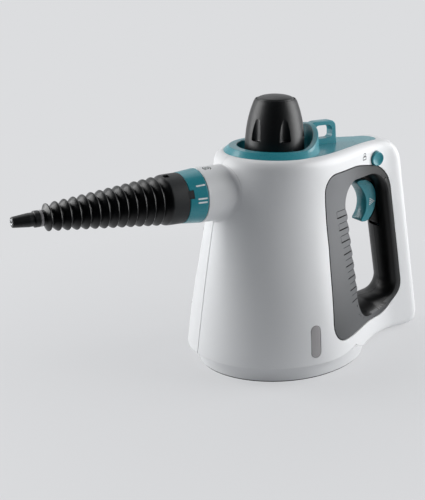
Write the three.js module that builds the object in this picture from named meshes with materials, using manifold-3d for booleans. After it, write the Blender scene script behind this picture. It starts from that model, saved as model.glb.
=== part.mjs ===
// Handheld steam cleaner: a teardrop housing in two halves round an upright boiler, with a
// hand opening through its tail, a screw-down filler cap and a ribbed nozzle.
// Millimetres, +Z up. The origin is on the boiler's axis, in the plane that the base rests on.
// The nozzle points towards -X and the handle is at +X.
import * as THREE from 'three';
import { mergeVertices } from 'three/addons/utils/BufferGeometryUtils.js';
import Module from 'manifold-3d';

const wasm = await Module();
wasm.setup();

// Clearances
const FIT = 0.3;                 // between pieces that touch
const OVERRUN = 4;               // how far a cutter runs past what it cuts
const FAR = 400;                 // longer than the whole cleaner

// Housing: one loft of teardrop sections, cut into halves at Y = 0
const TOP_Z = 186;               // flat rim round the teal cover
const BODY_FOOT_Z = 16.6;        // lower edge of the body, over the skirt
const HANDLE_FOOT_Z = 2.5;       // underside of the handle
const WALL = 3.6;
const FOOT_FRONT = 75.4;         // from the boiler's axis to the front, low down
const TOP_FRONT = 50;            // the same at the top
const FRONT_BULGE = 1.5;
const FOOT_CENTRE = 6;           // widest section's place along X, low down
const FOOT_HALF_WIDTH = 71.5;
const TOP_HALF_WIDTH = 49.5;
const WAIST_SHARE = 0.85;        // share of the height over which the width draws in
const TAIL_HALF_WIDTH = 16;      // half the thickness of the handle
const FOOT_TAIL_START = 130;     // where the taper reaches the handle's thickness, low down
const TOP_TAIL_START = 114;
const FOOT_REAR = 164.5;         // back of the handle at the resting plane
const TOP_REAR = 126.7;
const TAIL_END_DEPTH = 12;       // depth of the handle's rounded back
const TAIL_END_POWER = 2.6;
const SHOULDER_ROUND = 6;
const REAR_TOP_ROUND = 20;
const REAR_LOW_ROUND = 14;
const LOW_EDGE_ROUND = 5;
const SKIN_STEPS = {              // points along each part of a section, and the levels of the loft
  front: 9, taper: 7, end: 4, middle: 6,
  lowShares: [0, 0.1, 0.4], topShares: [1, 0.6, 0.3, 0.1, 0],
};
const HOLLOW_STEPS = {
  front: 5, taper: 4, end: 2, middle: 3, lowShares: [0], topShares: [1, 0],
};

// Lower edge: level over the skirt, then down to the handle's underside
const EDGE_DROP_LEAD = 26.6;     // how far ahead of the skirt's rear the drop starts
const EDGE_DROP_LENGTH = 58;
const EDGE_DROP_STEPS = 5;

// Hand opening and the charcoal grip that lines it. Their outlines in side view are corners
// [along, up, radius], as shares of the length and height of the outline's own frame
const GRIP_SKIN = 1.6;
const LINING = 3;
const GRIP_X = 18.6;
const GRIP_Z = 22.6;
const GRIP_REAR_INSET = 25.3;    // from the handle's back at the grip's foot
const GRIP_TOP_INSET = 16.8;     // below the flat rim
const GRIP_SHARES = [
  [0.003, 1, 0.069], [0.529, 1, 0.345], [0.788, 0.92, 0.155], [0.843, 0.78, 0.517], [1, 0.146, 0.103],
  [0.805, 0, 0.259], [0, 0.061, 0.103], [0.043, 0.692, 0.517],
];
const OPENING_X = 44.5;
const OPENING_Z = 31;
const OPENING_REAR_INSET = 23.7;
const OPENING_TOP_INSET = 27.5;
const OPENING_FACE_SHARES = [[0, 1, 0.156], [0.722, 1, 0.289], [1, 0, 0.278], [0.208, 0.059, 0.144]];
const OPENING_WAIST_SHARES = [
  [0, 0.976, 0.144], [0.628, 0.976, 0.222], [0.883, 0.078, 0.178], [0.208, 0.078, 0.133],
];
const CORNER_STEPS = 3;
const SEAT_CORNER_STEPS = 3;
const TEETH = 8;
const TEETH_SHARE = 0.671;       // of the opening's height, that their row takes
const TOOTH_DEPTH = 2.2;
const TOOTH_RISE_SHARES = [0.04, 0.5, 0.93];     // points up a tooth, and how far each stands out
const TOOTH_REACH_SHARES = [0.1, 1, 0.62];
const FLARE_SHARES = [0, 0.45, 0.75, 0.92, 1];   // shares of the handle's half thickness
const SEAT_FLARE_SHARES = [0, 0.6, 0.9, 1];

// Neck, and the spigot that the lock ring turns on
const NOZZLE_Z = 156.3;          // height of the nozzle's axis
const NECK_RADIUS = 22.6;
const NECK_ROOT_RADIUS = 25.5;
const NECK_ROOT_X = -49;
const NECK_FLARE = 8;
const NECK_FLARE_SHARE = 0.3;    // of the flare's growth, reached half way along it
const NECK_INNER_X = -30;
const RING_REAR_X = -76.2;
const RING_FRONT_X = -92.2;
const SPIGOT_RADIUS = 15.7;
const SPIGOT_WALL = 2.8;
const SPIGOT_END_GAP = 1.5;
const NECK_FACE_WALL = 3;

// Teal top cover with the filler well, its hood and the hanging loop
const COVER_MARGIN = 7.5;
const COVER_REAR_X = 105;
const COVER_END_DEPTH = 8;
const COVER_THICKNESS = 2.7;
const LEDGE = 3.4;
const TOP_WALL = 7;
const WELL_RADIUS = 31.7;
const WELL_WALL = 2.4;
const WELL_FLOOR_DROP = 4;       // below the flat rim
const WELL_FLOOR_THICKNESS = 2.2;
const COLLAR_RADIUS = 43;
const COLLAR_RIM_RADIUS = 39.4;
const COLLAR_HEIGHT = 5.4;       // over the flat rim
const HOOD_RIM_RADIUS = 36.3;
const HOOD_HEIGHT = 18.8;
const HOOD_START_X = 15;
const HOOD_RISE_LENGTH = 20;
const LOOP_START_X = 34;
const LOOP_LENGTH = 28.3;
const LOOP_TAPER = 2.1;          // how much shorter the loop is at its top
const LOOP_HEIGHT = 20.3;
const LOOP_HALF_WIDTH = 4;
const LOOP_ROUND = 6;
const WINDOW_FROM_START = 9.2;
const WINDOW_LENGTH = 13.8;
const WINDOW_HEIGHT = 11.2;
const WINDOW_TOP_WALL = 3.5;
const WINDOW_ROUND = 3.6;

// Filler cap
const CAP_DROP = 1.4;            // below the flat rim
const CAP_HEIGHT = 44.5;
const CAP_FOOT_RADIUS = 25.1;
const CAP_EDGE_RADIUS = 17.2;
const CAP_TAPER_POWER = 2.4;
const CAP_EDGE_ROUND = 1.2;
const DISC_RADIUS = 15.9;
const DISC_POCKET_DEPTH = 2.6;
const DISC_DOME = 3.9;
const DISC_DOME_SHARES = [[0.8, 0.45], [0.45, 0.85]];    // of the radius, and of the dome's height
const DISC_THICKNESS = 2;
const CAP_STEPS = 5;
const SCALLOPS = 6;
const SCALLOP_FIRST_DEG = 20;
const SCALLOP_RADIUS = 6.8;
const SCALLOP_INNER = 22;        // from the cap's axis to the deepest line of a scallop
const SCALLOP_RISE = 11.9;       // over the cap's foot
const STEM_RADIUS = 11.8;
const STEM_REACH = 16;           // below the filler's top
const STEM_FLANGE_RADIUS = 17.2;
const STEM_FLANGE_HEIGHT = 3.6;
const STEM_HEAD_RADIUS = 9;
const STEM_HEAD_RISE = 21;
const GASKET_THICKNESS = 2;
const RELIEF_BORE = 5;
const RELIEF_SEAT_BORE = 2.4;
const RELIEF_SEAT_DROP = 11;
const RELIEF_LENGTH = 8;
const RELIEF_SPRING_RISE = 15;
const RELIEF_TIP = 3.2;

// Boiler and what is fixed to it
const BOILER_RADIUS = 38;
const BOILER_WALL = 3;
const BOILER_FOOT_Z = 24;
const BOILER_SPLIT_Z = 74;
const BOILER_TOP_Z = 120;
const BOILER_ROUND = 11;
const BOILER_CROWN_SHARE = 0.7;  // of the rounding, where the top turns flat
const BOILER_FLANGE_RADIUS = 42;
const BOILER_FLANGE = 3;
const FILLER_RADIUS = 15;
const FILLER_BORE = 12.2;
const FILLER_DROP = 2;           // below the flat rim
const FILLER_FLANGE_RADIUS = 19;
const FILLER_FLANGE = 2.4;
const ELEMENT_RING_RADIUS = 22;
const ELEMENT_RADIUS = 3.6;
const ELEMENT_SPAN_DEG = 300;
const ELEMENT_STEPS = 20;
const ELEMENT_TAIL = 6;
const THERMOSTAT_RADIUS = 9;
const THERMOSTAT_HEIGHT = 6;
const THERMOSTAT_CAN_SHARE = 0.7;
const FUSE_RADIUS = 2.2;
const FUSE_LENGTH = 14;
const FUSE_HEIGHT = 60;          // height of the fuse on the boiler's wall

// Steam valve, its rod and the tube to the nozzle
const VALVE_START_X = 20.5;
const VALVE_END_X = 41;
const VALVE_HALF_WIDTH = 8;
const VALVE_BELOW_ROD = 9;
const VALVE_ABOVE_ROD = 7.5;
const VALVE_FOOT_RADIUS = 6.5;
const VALVE_FOOT_X = 28.5;
const VALVE_BORE = 4.4;
const VALVE_BORE_DEPTH = 15;
const ROD_ABOVE_PIN = 10;
const ROD_HALF_HEIGHT = 2.6;
const ROD_HALF_WIDTH = 2.6;
const ROD_END_GAP = 0.4;         // from the rod's end to the trigger's arm
const SPINDLE_RADIUS = 2;
const SPINDLE_HEAD_RADIUS = 4;
const SPINDLE_HEAD = 2;
const SPINDLE_REACH = 7;         // how far the spindle goes into the valve
const ROD_TRAVEL = 1.7;
const SPRING_WIRE = 0.45;
const SPRING_TURNS = 4;
const SPRING_SIDES = 5;
const SPRING_STEPS = 8;          // for each turn
const STEAM_TUBE_RADIUS = 2.6;
const TUBE_BEND_SHARE = 0.9;     // of the tube's side reach, where it bends towards the neck
const SOCKET_REAR_X = -54;
const SOCKET_FRONT_X = -104;
const SOCKET_RADIUS = 5.6;
const SOCKET_NOSE_RADIUS = 4;
const SOCKET_NOSE = 11;
const SOCKET_BORE = 1.8;
const SOCKET_FLANGE = 4;

// Lock ring and ribbed nozzle, measured along the axis from the ring's rear face
const RING_REAR_RADIUS = 22.5;
const RING_FRONT_RADIUS = 20.9;
const RING_BORE_FIT = 0.4;
const TAB_DEG = 289;             // from the top towards -Y
const TAB_WIDTH = 6.4;
const TAB_LENGTH = 3.4;
const TAB_HEIGHT = 3;
const RIBS = 14;
const FIRST_RIB = 31.2;
const RIB_PITCH = 7.46;
const FIRST_RIB_RADIUS = 20.2;
const RIB_STEP = 0.735;          // each rib is this much smaller than the one behind it
const RIB_DEPTH = 3.3;
const RIB_RISE_SHARE = 0.14;
const RIB_SLOPE_SHARE = 0.4;
const RIB_SLOPE_DEPTH_SHARE = 0.4;
const LAST_SLOPE_SHARE = 0.62;
const SHROUD_WALL = 2.2;
const SHROUD_NOSE = 5.02;        // from the last rib to the shroud's end
const SHROUD_END_RADIUS = 6.3;
const SHROUD_REAR_RADIUS = 20.7;
const LATCH_DEG = 350;
const LATCH_LENGTH = 4.6;
const LATCH_WIDTH = 5.4;
const LATCH_DEPTH = 1.8;
const LATCH_FROM_RING = 10.5;
const PIPE_RADIUS = 3.8;
const PIPE_BORE = 1.6;
const PIPE_IN_TIP = 3.7;         // how far the pipe reaches into the tip
const PIPE_CUP_RADIUS = 8;
const PIPE_CUP_END = 36;
const PIPE_FLANGE = 3;
const SEAL_LENGTH = 2.4;
const SEAL_FROM_NOSE = 4;
const TIP_RING_THICKNESS = 1.1;
const TIP_RING_RADIUS = 6.1;
const TIP_FLANGE_RADIUS = 6.3;
const TIP_FLANGE = 4.1;
const TIP_BODY_RADIUS = 5.5;
const TIP_END_RADIUS = 4.1;
const TIP_LENGTH = 21.1;
const INSERT_RADIUS = 2.7;
const INSERT_LENGTH = 10;
const INSERT_BORE = 0.9;

// Trigger: a teal pad on a black lever, hung from a pin above the hand opening
const PIN_SHARE = 0.6944;        // of the hand opening's length, from its front
const PIN_ABOVE_OPENING = 1.5;
const PIN_RADIUS = 1.8;
const PIN_HALF_LENGTH = 11;
const PIN_FIT = 0.15;
const PIN_BOSS_RADIUS = 4.2;
const TRIGGER_HALF_WIDTH = 7;
const SLOT_FIT = 0.5;
const LEVER_HALF_WIDTH = 6.4;
const LEVER_BOSS_RADIUS = 4.6;
const ARM_HALF_WIDTH = 2.6;
const PAD_BEVEL = 1.1;
const SLOT_BEFORE_PIN = 17;
const SLOT_LENGTH = 36;
const SLOT_BELOW_PIN = 2.5;
const SLOT_HEIGHT = 58.5;
// Outlines [along, up], as shares of the length and height of each one's own frame. The
// pad's ends under the pin, the lever's hangs down from it, and the arm's stands up from it
const PAD_DROP = 49.4;
const PAD_LENGTH = 22.4;
const PAD_HEIGHT = 39;
const PAD_FRONT_SHARES = [[0, 0.938], [0.259, 0.785], [0.446, 0.6], [0.509, 0.421], [0.464, 0.231],
  [0.299, 0.062]];
const PAD_BACK_SHARES = [[0.442, 0], [0.661, 0.031], [0.911, 0.226], [1, 0.462], [0.946, 0.703], [0.741, 0.892],
  [0.42, 0.995], [0.152, 1]];
const LEVER_LENGTH = 20;
const LEVER_DROP = 55;
const LEVER_SHARES = [[-0.14, 0], [-0.32, -0.127], [-0.17, -0.247], [0.01, -0.382], [0.06, -0.571],
  [-0.04, -0.749], [-0.32, -0.887], [0.38, -1], [0.67, -0.945], [0.63, -0.545], [0.33, -0.145], [0.18, 0]];
const ARM_LENGTH = 9.2;
const ARM_RISE = 13;
const ARM_SHARES = [[-0.326, 0], [-0.652, 0.308], [-0.674, 1], [-0.283, 1], [-0.043, 0.462], [0.326, 0]];

// Lock button on the near side of the handle
const LOCK_SHARE = 0.6543;       // of the grip's length, from its front
const LOCK_ABOVE_GRIP = 2.1;
const LOCK_RADIUS = 6.6;
const LOCK_FACE_Y = -20.8;
const LOCK_HEAD = 9;
const LOCK_STEM_RADIUS = 2.8;
const LOCK_STEM_END_Y = -6.2;
const LOCK_EDGE_ROUND = 1;
const LOCK_GUIDE_WALL = 1.8;

// Skirt, base plate, pilot light, cord inlet and screws
const SKIRT_INSET = 10.4;        // from the body's front, low down, to the skirt's
const SKIRT_SIDE_INSET = 8.3;
const SKIRT_REAR_X = 80.6;
const SKIRT_FLARE = 3;
const SKIRT_WALL = 2.5;
const SKIRT_FOOT_Z = 1.3;
const SKIRT_FLANGE = 2.2;
const SKIRT_FLANGE_REACH = 7;
const SKIRT_SEGMENTS = 32;
const PLATE_MARGIN = 1.1;
const PLATE_FOOT = 1;
const PLATE_THICKNESS = 4;
const POST_RADIUS = 4.5;
const POST_RING_RADIUS = 32;
const POSTS = 3;
const LENS_X = -1.7;
const LENS_Z = 37.3;
const LENS_WIDTH = 10;
const LENS_HEIGHT = 30.5;
const LENS_THICKNESS = 3;
const LAMP_RADIUS = 3;
const LAMP_LENGTH = 12;
const LAMP_GAP = 2.4;            // from the lens's back, where it lies deepest, to the lamp
const LAMP_SHELF_HALF_WIDTH = 9;
const LAMP_SHELF = 2;
const INLET_Z = 24;
const INLET_RADIUS = 6;
const INLET_FLANGE_RADIUS = 8;
const INLET_FLANGE = 1.8;
const INLET_BORE = 3.5;
const INLET_LENGTH = 10;
const INLET_INSET = 1.4;
// Housing screws: how far to the front or the back at their height, and how high
const SCREW_PLACE_SHARES = [[-0.766, 0.247], [-0.791, 0.624], [0.885, 0.1075], [0.908, 0.898]];
const SCREW_RADIUS = 1.5;
const SCREW_HEAD_RADIUS = 2.9;
const SCREW_HEAD = 2.4;
const SCREW_LENGTH = 14;
const SCREW_INSET = 1.6;
const SCREW_BOSS_RADIUS = 4.4;
const BASE_SCREW_SHARES = [0.618, 0.601];        // of half the skirt's length and width
const BASE_TOWER_TOP = 32;
const BASE_TOWER_WEB = 2.5;
const BASE_WEB_FOOT = 21;
const BASE_SCREW_HEAD_Z = 0.6;
const BASE_SCREW_LENGTH = 18;

// Facets of round pieces
const FINE = 32;
const MEDIUM = 14;
const RIB_SEGMENTS = 18;
const COARSE = 12;
const SMALL = 8;

const EDGE_SHARE = 0.3;          // how far the middle of a rounded edge has drawn in

const HALF_TURN = Math.PI;
const QUARTER_TURN = Math.PI / 2;
const radians = (degrees) => THREE.MathUtils.degToRad(degrees);
const mix = (a, b, share) => a + (b - a) * share;
const ringX = (along) => RING_REAR_X - along;      // a place along the nozzle, as an X

// Places that follow from the sizes
const skirtFront = FOOT_FRONT - SKIRT_INSET;
const skirtCentre = (SKIRT_REAR_X - skirtFront) / 2;
const skirtHalfLength = (SKIRT_REAR_X + skirtFront) / 2;
const skirtHalfWidth = FOOT_HALF_WIDTH - SKIRT_SIDE_INSET;
const lastRib = FIRST_RIB + RIB_PITCH * (RIBS - 1);
const shroudEnd = lastRib + SHROUD_NOSE;
const tipRingStart = shroudEnd + FIT;
const tipRingEnd = tipRingStart + TIP_RING_THICKNESS;
const tipStart = tipRingEnd + FIT;
const tipEnd = tipStart + TIP_LENGTH;
const pipeEnd = tipStart + PIPE_IN_TIP;
const backAt = (z) => mix(FOOT_REAR, TOP_REAR, z / TOP_Z);
const gripTopZ = TOP_Z - GRIP_TOP_INSET;
const gripLength = backAt(GRIP_Z) - GRIP_REAR_INSET - GRIP_X;
const openingTopZ = TOP_Z - OPENING_TOP_INSET;
const openingLength = backAt(OPENING_Z) - OPENING_REAR_INSET - OPENING_X;
const lockX = GRIP_X + gripLength * LOCK_SHARE;
const lockZ = gripTopZ + LOCK_ABOVE_GRIP;
const pinX = OPENING_X + openingLength * PIN_SHARE;
const pinZ = openingTopZ + PIN_ABOVE_OPENING;
const rodZ = pinZ + ROD_ABOVE_PIN;
const valveLowZ = rodZ - VALVE_BELOW_ROD;
const collarZ = TOP_Z + COLLAR_HEIGHT;
const hoodZ = TOP_Z + HOOD_HEIGHT;
const loopZ = TOP_Z + LOOP_HEIGHT;
const wellFloorZ = TOP_Z - WELL_FLOOR_DROP;
const capFootZ = TOP_Z - CAP_DROP;
const capEdgeZ = capFootZ + CAP_HEIGHT;
const fillerTopZ = TOP_Z - FILLER_DROP;
const stemFootZ = fillerTopZ - STEM_REACH;
const stemHeadZ = fillerTopZ + STEM_HEAD_RISE;
const reliefSeatZ = fillerTopZ - RELIEF_SEAT_DROP;
const reliefSpringTopZ = fillerTopZ + RELIEF_SPRING_RISE;

// Points given as shares of a frame's length and height, with any radius a share of its length
const placed = (shares, x, z, length, height) => shares.map(([along, up, radius = 0]) =>
  [x + along * length, z + up * height, radius * length]);

// Solids: three.js geometry in, boolean joins and cuts, three.js geometry out
function signedVolume(position, index) {
  const [a, b, c] = [new THREE.Vector3(), new THREE.Vector3(), new THREE.Vector3()];
  let total = 0;
  for (let i = 0; i < index.length; i += 3) {
    [a, b, c].forEach((corner, k) => corner.fromArray(position, index[i + k] * 3));
    total += a.dot(b.cross(c));
  }
  return total;
}

function toSolid(geometry) {
  const bare = geometry.clone();
  bare.deleteAttribute('normal');
  bare.deleteAttribute('uv');
  const merged = mergeVertices(bare);
  const corners = [];
  for (let i = 0; i < merged.index.count; i += 3) {
    const [a, b, c] = [0, 1, 2].map((k) => merged.index.getX(i + k));
    if (a !== b && b !== c && c !== a) corners.push(a, b, c);
  }
  if (signedVolume(merged.attributes.position.array, corners) < 0) corners.reverse();
  return new wasm.Manifold(new wasm.Mesh({
    numProp: 3,
    vertProperties: Float32Array.from(merged.attributes.position.array),
    triVerts: Uint32Array.from(corners),
  }));
}

function toGeometry(solid) {
  const mesh = solid.getMesh();
  const geometry = new THREE.BufferGeometry();
  geometry.setAttribute('position', new THREE.BufferAttribute(mesh.vertProperties, 3));
  geometry.setIndex(new THREE.BufferAttribute(mesh.triVerts, 1));
  return geometry;
}

const join = (first, ...others) => others.reduce((sum, solid) => sum.add(solid), first);
const cut = (first, ...others) => others.reduce((rest, solid) => rest.subtract(solid), first);

// A closed loft through rings of as many points each, with both ends filled
function loft(rings, flatten) {
  const loops = THREE.ShapeUtils.area(rings[0].map(flatten)) < 0
    ? rings.map((ring) => [...ring].reverse()) : rings;
  const count = loops[0].length;
  const position = loops.flat().flatMap((point) => point.toArray());
  const index = [];
  for (let r = 0; r + 1 < loops.length; r += 1) {
    for (let i = 0; i < count; i += 1) {
      const a = r * count + i;
      const b = r * count + (i + 1) % count;
      index.push(a, b, b + count, a, b + count, a + count);
    }
  }
  const fill = (ring) => THREE.ShapeUtils.triangulateShape(ring.map(flatten), []);
  const last = (loops.length - 1) * count;
  fill(loops[0]).forEach(([a, b, c]) => index.push(a, c, b));
  fill(loops.at(-1)).forEach(([a, b, c]) => index.push(last + a, last + b, last + c));
  const geometry = new THREE.BufferGeometry();
  geometry.setAttribute('position', new THREE.Float32BufferAttribute(position, 3));
  geometry.setIndex(index);
  return toSolid(geometry);
}

const planView = (point) => new THREE.Vector2(point.x, point.y);
const sideView = (point) => new THREE.Vector2(point.x, point.z);

function box(low, high) {
  const [x, y, z] = [0, 1, 2].map((k) => high[k] - low[k]);
  const geometry = new THREE.BoxGeometry(x, y, z);
  geometry.translate(low[0] + x / 2, low[1] + y / 2, low[2] + z / 2);
  return toSolid(geometry);
}

// A flat outline in side view (x, z), drawn out along Y
function plateY(points, lowY, highY, bevel = 0) {
  const shape = new THREE.Shape(points.map(([x, z]) => new THREE.Vector2(x, z)));
  const geometry = new THREE.ExtrudeGeometry(shape, {
    depth: highY - lowY - 2 * bevel,
    bevelEnabled: bevel > 0,
    bevelSize: bevel,
    bevelThickness: bevel,
    bevelOffset: -bevel,
    bevelSegments: 2,
  });
  geometry.rotateX(QUARTER_TURN);
  geometry.translate(0, highY - bevel, 0);
  return toSolid(geometry);
}

// A flat outline in plan (x, y), drawn up from one height to another
function plateZ(points, lowZ, highZ) {
  const shape = new THREE.Shape(points.map(([x, y]) => new THREE.Vector2(x, y)));
  const geometry = new THREE.ExtrudeGeometry(shape, { depth: highZ - lowZ, bevelEnabled: false });
  geometry.translate(0, 0, lowZ);
  return toSolid(geometry);
}

// Turned pieces: profile points are [radius, place along the axis]
function turned(profile, segments) {
  return new THREE.LatheGeometry(profile.map(([r, along]) => new THREE.Vector2(r, along)), segments);
}

function turnedZ(profile, segments, x = 0, y = 0) {
  const geometry = turned(profile, segments);
  geometry.rotateX(QUARTER_TURN);
  geometry.translate(x, y, 0);
  return toSolid(geometry);
}

// About the nozzle's axis, with places along it given as X
function turnedX(profile, segments, z = NOZZLE_Z) {
  const geometry = turned(profile.map(([r, x]) => [r, -x]), segments);
  geometry.rotateZ(QUARTER_TURN);
  geometry.translate(0, 0, z);
  return toSolid(geometry);
}

function turnedY(profile, segments, x, z) {
  const geometry = turned(profile, segments);
  geometry.translate(x, 0, z);
  return toSolid(geometry);
}

const rod = (radius, low, high) => [[0, low], [radius, low], [radius, high], [0, high]];
const tube = (outer, inner, low, high) =>
  [[inner, low], [outer, low], [outer, high], [inner, high], [inner, low]];

// Side-view loop with rounded corners: each corner gives as many points, so loops match
function roundedLoop(corners, steps) {
  const count = corners.length;
  return corners.flatMap(([x, z, radius], i) => {
    const here = new THREE.Vector2(x, z);
    const [before, after] = [count - 1, 1].map((step) => {
      const [nx, nz] = corners[(i + step) % count];
      return new THREE.Vector2(nx, nz).sub(here).normalize();
    });
    const half = Math.acos(THREE.MathUtils.clamp(before.dot(after), -1, 1)) / 2;
    const centre = before.clone().add(after).normalize().multiplyScalar(radius / Math.sin(half)).add(here);
    const start = before.clone().multiplyScalar(radius / Math.tan(half)).add(here).sub(centre);
    const end = after.clone().multiplyScalar(radius / Math.tan(half)).add(here).sub(centre);
    const sweep = Math.atan2(start.cross(end), start.dot(end));
    return Array.from({ length: steps + 1 }, (_, k) =>
      start.clone().rotateAround(new THREE.Vector2(), sweep * k / steps).add(centre).toArray());
  });
}

// Corners moved outwards by a distance, with their radii grown to match
function spread(corners, distance) {
  const count = corners.length;
  const turn = Math.sign(THREE.ShapeUtils.area(corners.map(([x, z]) => new THREE.Vector2(x, z))));
  return corners.map(([x, z, radius], i) => {
    const here = new THREE.Vector2(x, z);
    const [before, after] = [count - 1, 1].map((step) => {
      const [nx, nz] = corners[(i + step) % count];
      return new THREE.Vector2(nx, nz).sub(here).normalize();
    });
    const convex = Math.sign(after.cross(before)) === turn ? 1 : -1;
    const half = Math.acos(THREE.MathUtils.clamp(before.dot(after), -1, 1)) / 2;
    const out = before.clone().add(after).normalize().multiplyScalar(-convex * distance / Math.sin(half));
    return [x + out.x, z + out.y, Math.max(radius + convex * distance, distance)];
  });
}

// Housing sections
const heightShare = (z) => THREE.MathUtils.clamp((z - BODY_FOOT_Z) / (TOP_Z - BODY_FOOT_Z), 0, 1);
const fade = (share) => (1 + Math.cos(HALF_TURN * Math.min(share, 1))) / 2;

// How far a rounded edge of this radius has drawn in, at a distance from its plane
function edgeInset(distance, radius) {
  if (distance >= radius) return 0;
  const left = radius - Math.max(distance, 0);
  return radius - Math.sqrt(radius * radius - left * left);
}

function section(z, inset) {
  const share = heightShare(z);
  const below = z - HANDLE_FOOT_Z - inset;
  const above = TOP_Z - inset - z;
  const rounded = (distance, radius) => edgeInset(distance, Math.max(radius - inset, 0));
  const draw = inset + rounded(above, SHOULDER_ROUND) + rounded(below, LOW_EDGE_ROUND);
  return {
    centre: mix(FOOT_CENTRE, 0, share),
    front: mix(FOOT_FRONT, TOP_FRONT, share) + FRONT_BULGE * Math.sin(HALF_TURN * share) - draw,
    half: mix(TOP_HALF_WIDTH, FOOT_HALF_WIDTH, fade(share / WAIST_SHARE)) - draw,
    tail: TAIL_HALF_WIDTH - draw,
    tailStart: mix(FOOT_TAIL_START, TOP_TAIL_START, share),
    rear: mix(FOOT_REAR, TOP_REAR, z / TOP_Z) - inset
      - rounded(above, REAR_TOP_ROUND) - rounded(below, REAR_LOW_ROUND),
  };
}

function halfWidthAt(x, s) {
  if (x < s.centre) return s.half * Math.sqrt(Math.max(0, 1 - ((s.centre - x) / (s.centre + s.front)) ** 2));
  return mix(s.tail, s.half, fade((x - s.centre) / (s.tailStart - s.centre)));
}

// Plan outline: the rounded back of the handle, the taper and the oval front
function planOutline(s, margin, endX, rear, endPower, steps) {
  const endHalf = halfWidthAt(endX, s) - margin;
  const near = [];
  for (let i = 0; i < steps.end; i += 1) {
    const turn = QUARTER_TURN * i / steps.end;
    near.push([endX + (rear - endX) * Math.cos(turn) ** (2 / endPower),
      endHalf * Math.sin(turn) ** (2 / endPower)]);
  }
  for (let i = 0; i < steps.taper; i += 1) {
    const x = mix(endX, s.centre, i / steps.taper);
    near.push([x, halfWidthAt(x, s) - margin]);
  }
  for (let i = 0; i <= steps.front; i += 1) {
    const turn = QUARTER_TURN * i / steps.front;
    near.push([s.centre - (s.centre + s.front - margin) * Math.sin(turn), (s.half - margin) * Math.cos(turn)]);
  }
  return [...near, ...near.slice(1, -1).reverse().map(([x, y]) => [x, -y])];
}

function housingRing(z, inset, steps) {
  const s = section(z, inset);
  return planOutline(s, 0, s.rear - TAIL_END_DEPTH + inset, s.rear, TAIL_END_POWER, steps)
    .map(([x, y]) => new THREE.Vector3(x, y, z));
}

function housingLoft(inset, topInset, steps) {
  const low = HANDLE_FOOT_Z + inset;
  const high = TOP_Z - topInset;
  const lowEnd = low + REAR_LOW_ROUND;
  const highStart = high - REAR_TOP_ROUND;
  const levels = [
    ...steps.lowShares.map((share) => low + share * REAR_LOW_ROUND),
    ...Array.from({ length: steps.middle }, (_, i) => mix(lowEnd, highStart, i / steps.middle)),
    ...steps.topShares.map((share) => high - share * REAR_TOP_ROUND),
  ];
  return loft(levels.map((z) => housingRing(z, inset, steps)), planView);
}

const outer = housingLoft(0, 0, SKIN_STEPS);
const inner = housingLoft(WALL, TOP_WALL, HOLLOW_STEPS);
const gripBack = housingLoft(GRIP_SKIN, GRIP_SKIN, HOLLOW_STEPS);
const gripSeat = housingLoft(GRIP_SKIN + FIT, GRIP_SKIN + FIT, HOLLOW_STEPS);
const nearHalf = box([-FAR, -FAR, -FAR], [FAR, -FIT / 2, FAR]);
const farHalf = box([-FAR, FIT / 2, -FAR], [FAR, FAR, FAR]);

// The hand opening: straight behind, and waisted between the handle's rounded flanks. The
// finger teeth stand half way up its front edge
const toothPitch = (openingTopZ - OPENING_Z) * TEETH_SHARE / TEETH;
const toothLowZ = (OPENING_Z + openingTopZ - TEETH * toothPitch) / 2;
const openingTeeth = Array.from({ length: TEETH }, (_, tooth) => TOOTH_RISE_SHARES.map((rise, i) =>
  [toothLowZ + (tooth + rise) * toothPitch, TOOTH_REACH_SHARES[i] * TOOTH_DEPTH])).flat();

function openingLoop(shares, distance, toothed) {
  const corners = placed(shares, OPENING_X, OPENING_Z, openingLength, openingTopZ - OPENING_Z);
  const loop = roundedLoop(spread(corners, distance), toothed ? CORNER_STEPS : SEAT_CORNER_STEPS);
  if (!toothed) return loop;
  const [low, high] = [loop[loop.length - 1], loop[0]];
  const teeth = openingTeeth.map(([z, reach]) =>
    [mix(low[0], high[0], (z - low[1]) / (high[1] - low[1])) + reach, z]);
  return [...loop, ...teeth];
}

function openingCutter(distance, toothed, shares) {
  const face = openingLoop(OPENING_FACE_SHARES, distance, toothed);
  const waist = openingLoop(OPENING_WAIST_SHARES, distance, toothed);
  const ring = (y, share) => face.map(([x, z], i) =>
    new THREE.Vector3(mix(waist[i][0], x, share), y, mix(waist[i][1], z, share)));
  const flanks = shares.map((share) => [share * TAIL_HALF_WIDTH, 1 - Math.sqrt(1 - share * share)]);
  const levels = [[FAR, 1], ...[...flanks].reverse()];
  return loft([
    ...levels.map(([y, share]) => ring(y, share)),
    ...levels.slice(0, -1).reverse().map(([y, share]) => ring(-y, share)),
  ], sideView);
}

const opening = openingCutter(0, true, FLARE_SHARES);
const liningOuter = openingCutter(LINING, false, SEAT_FLARE_SHARES);
const liningSeat = openingCutter(LINING + FIT, false, SEAT_FLARE_SHARES);
const gripCorners = placed(GRIP_SHARES, GRIP_X, GRIP_Z, gripLength, gripTopZ - GRIP_Z);
const gripPlate = plateY(roundedLoop(gripCorners, CORNER_STEPS), -FAR, FAR);
const gripRecess = cut(plateY(roundedLoop(spread(gripCorners, FIT), CORNER_STEPS), -FAR, FAR), gripSeat);
const slotX = pinX - SLOT_BEFORE_PIN;
const slotTopZ = pinZ - SLOT_BELOW_PIN;
const triggerSlot = box([slotX, -TRIGGER_HALF_WIDTH - SLOT_FIT, slotTopZ - SLOT_HEIGHT],
  [slotX + SLOT_LENGTH, TRIGGER_HALF_WIDTH + SLOT_FIT, slotTopZ]);

// Charcoal grip insert: a skin over the flank and the lining of the hand opening
const gripWhole = cut(
  join(cut(gripPlate.intersect(outer), gripBack), liningOuter.intersect(outer)),
  opening,
  triggerSlot,
);

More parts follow.
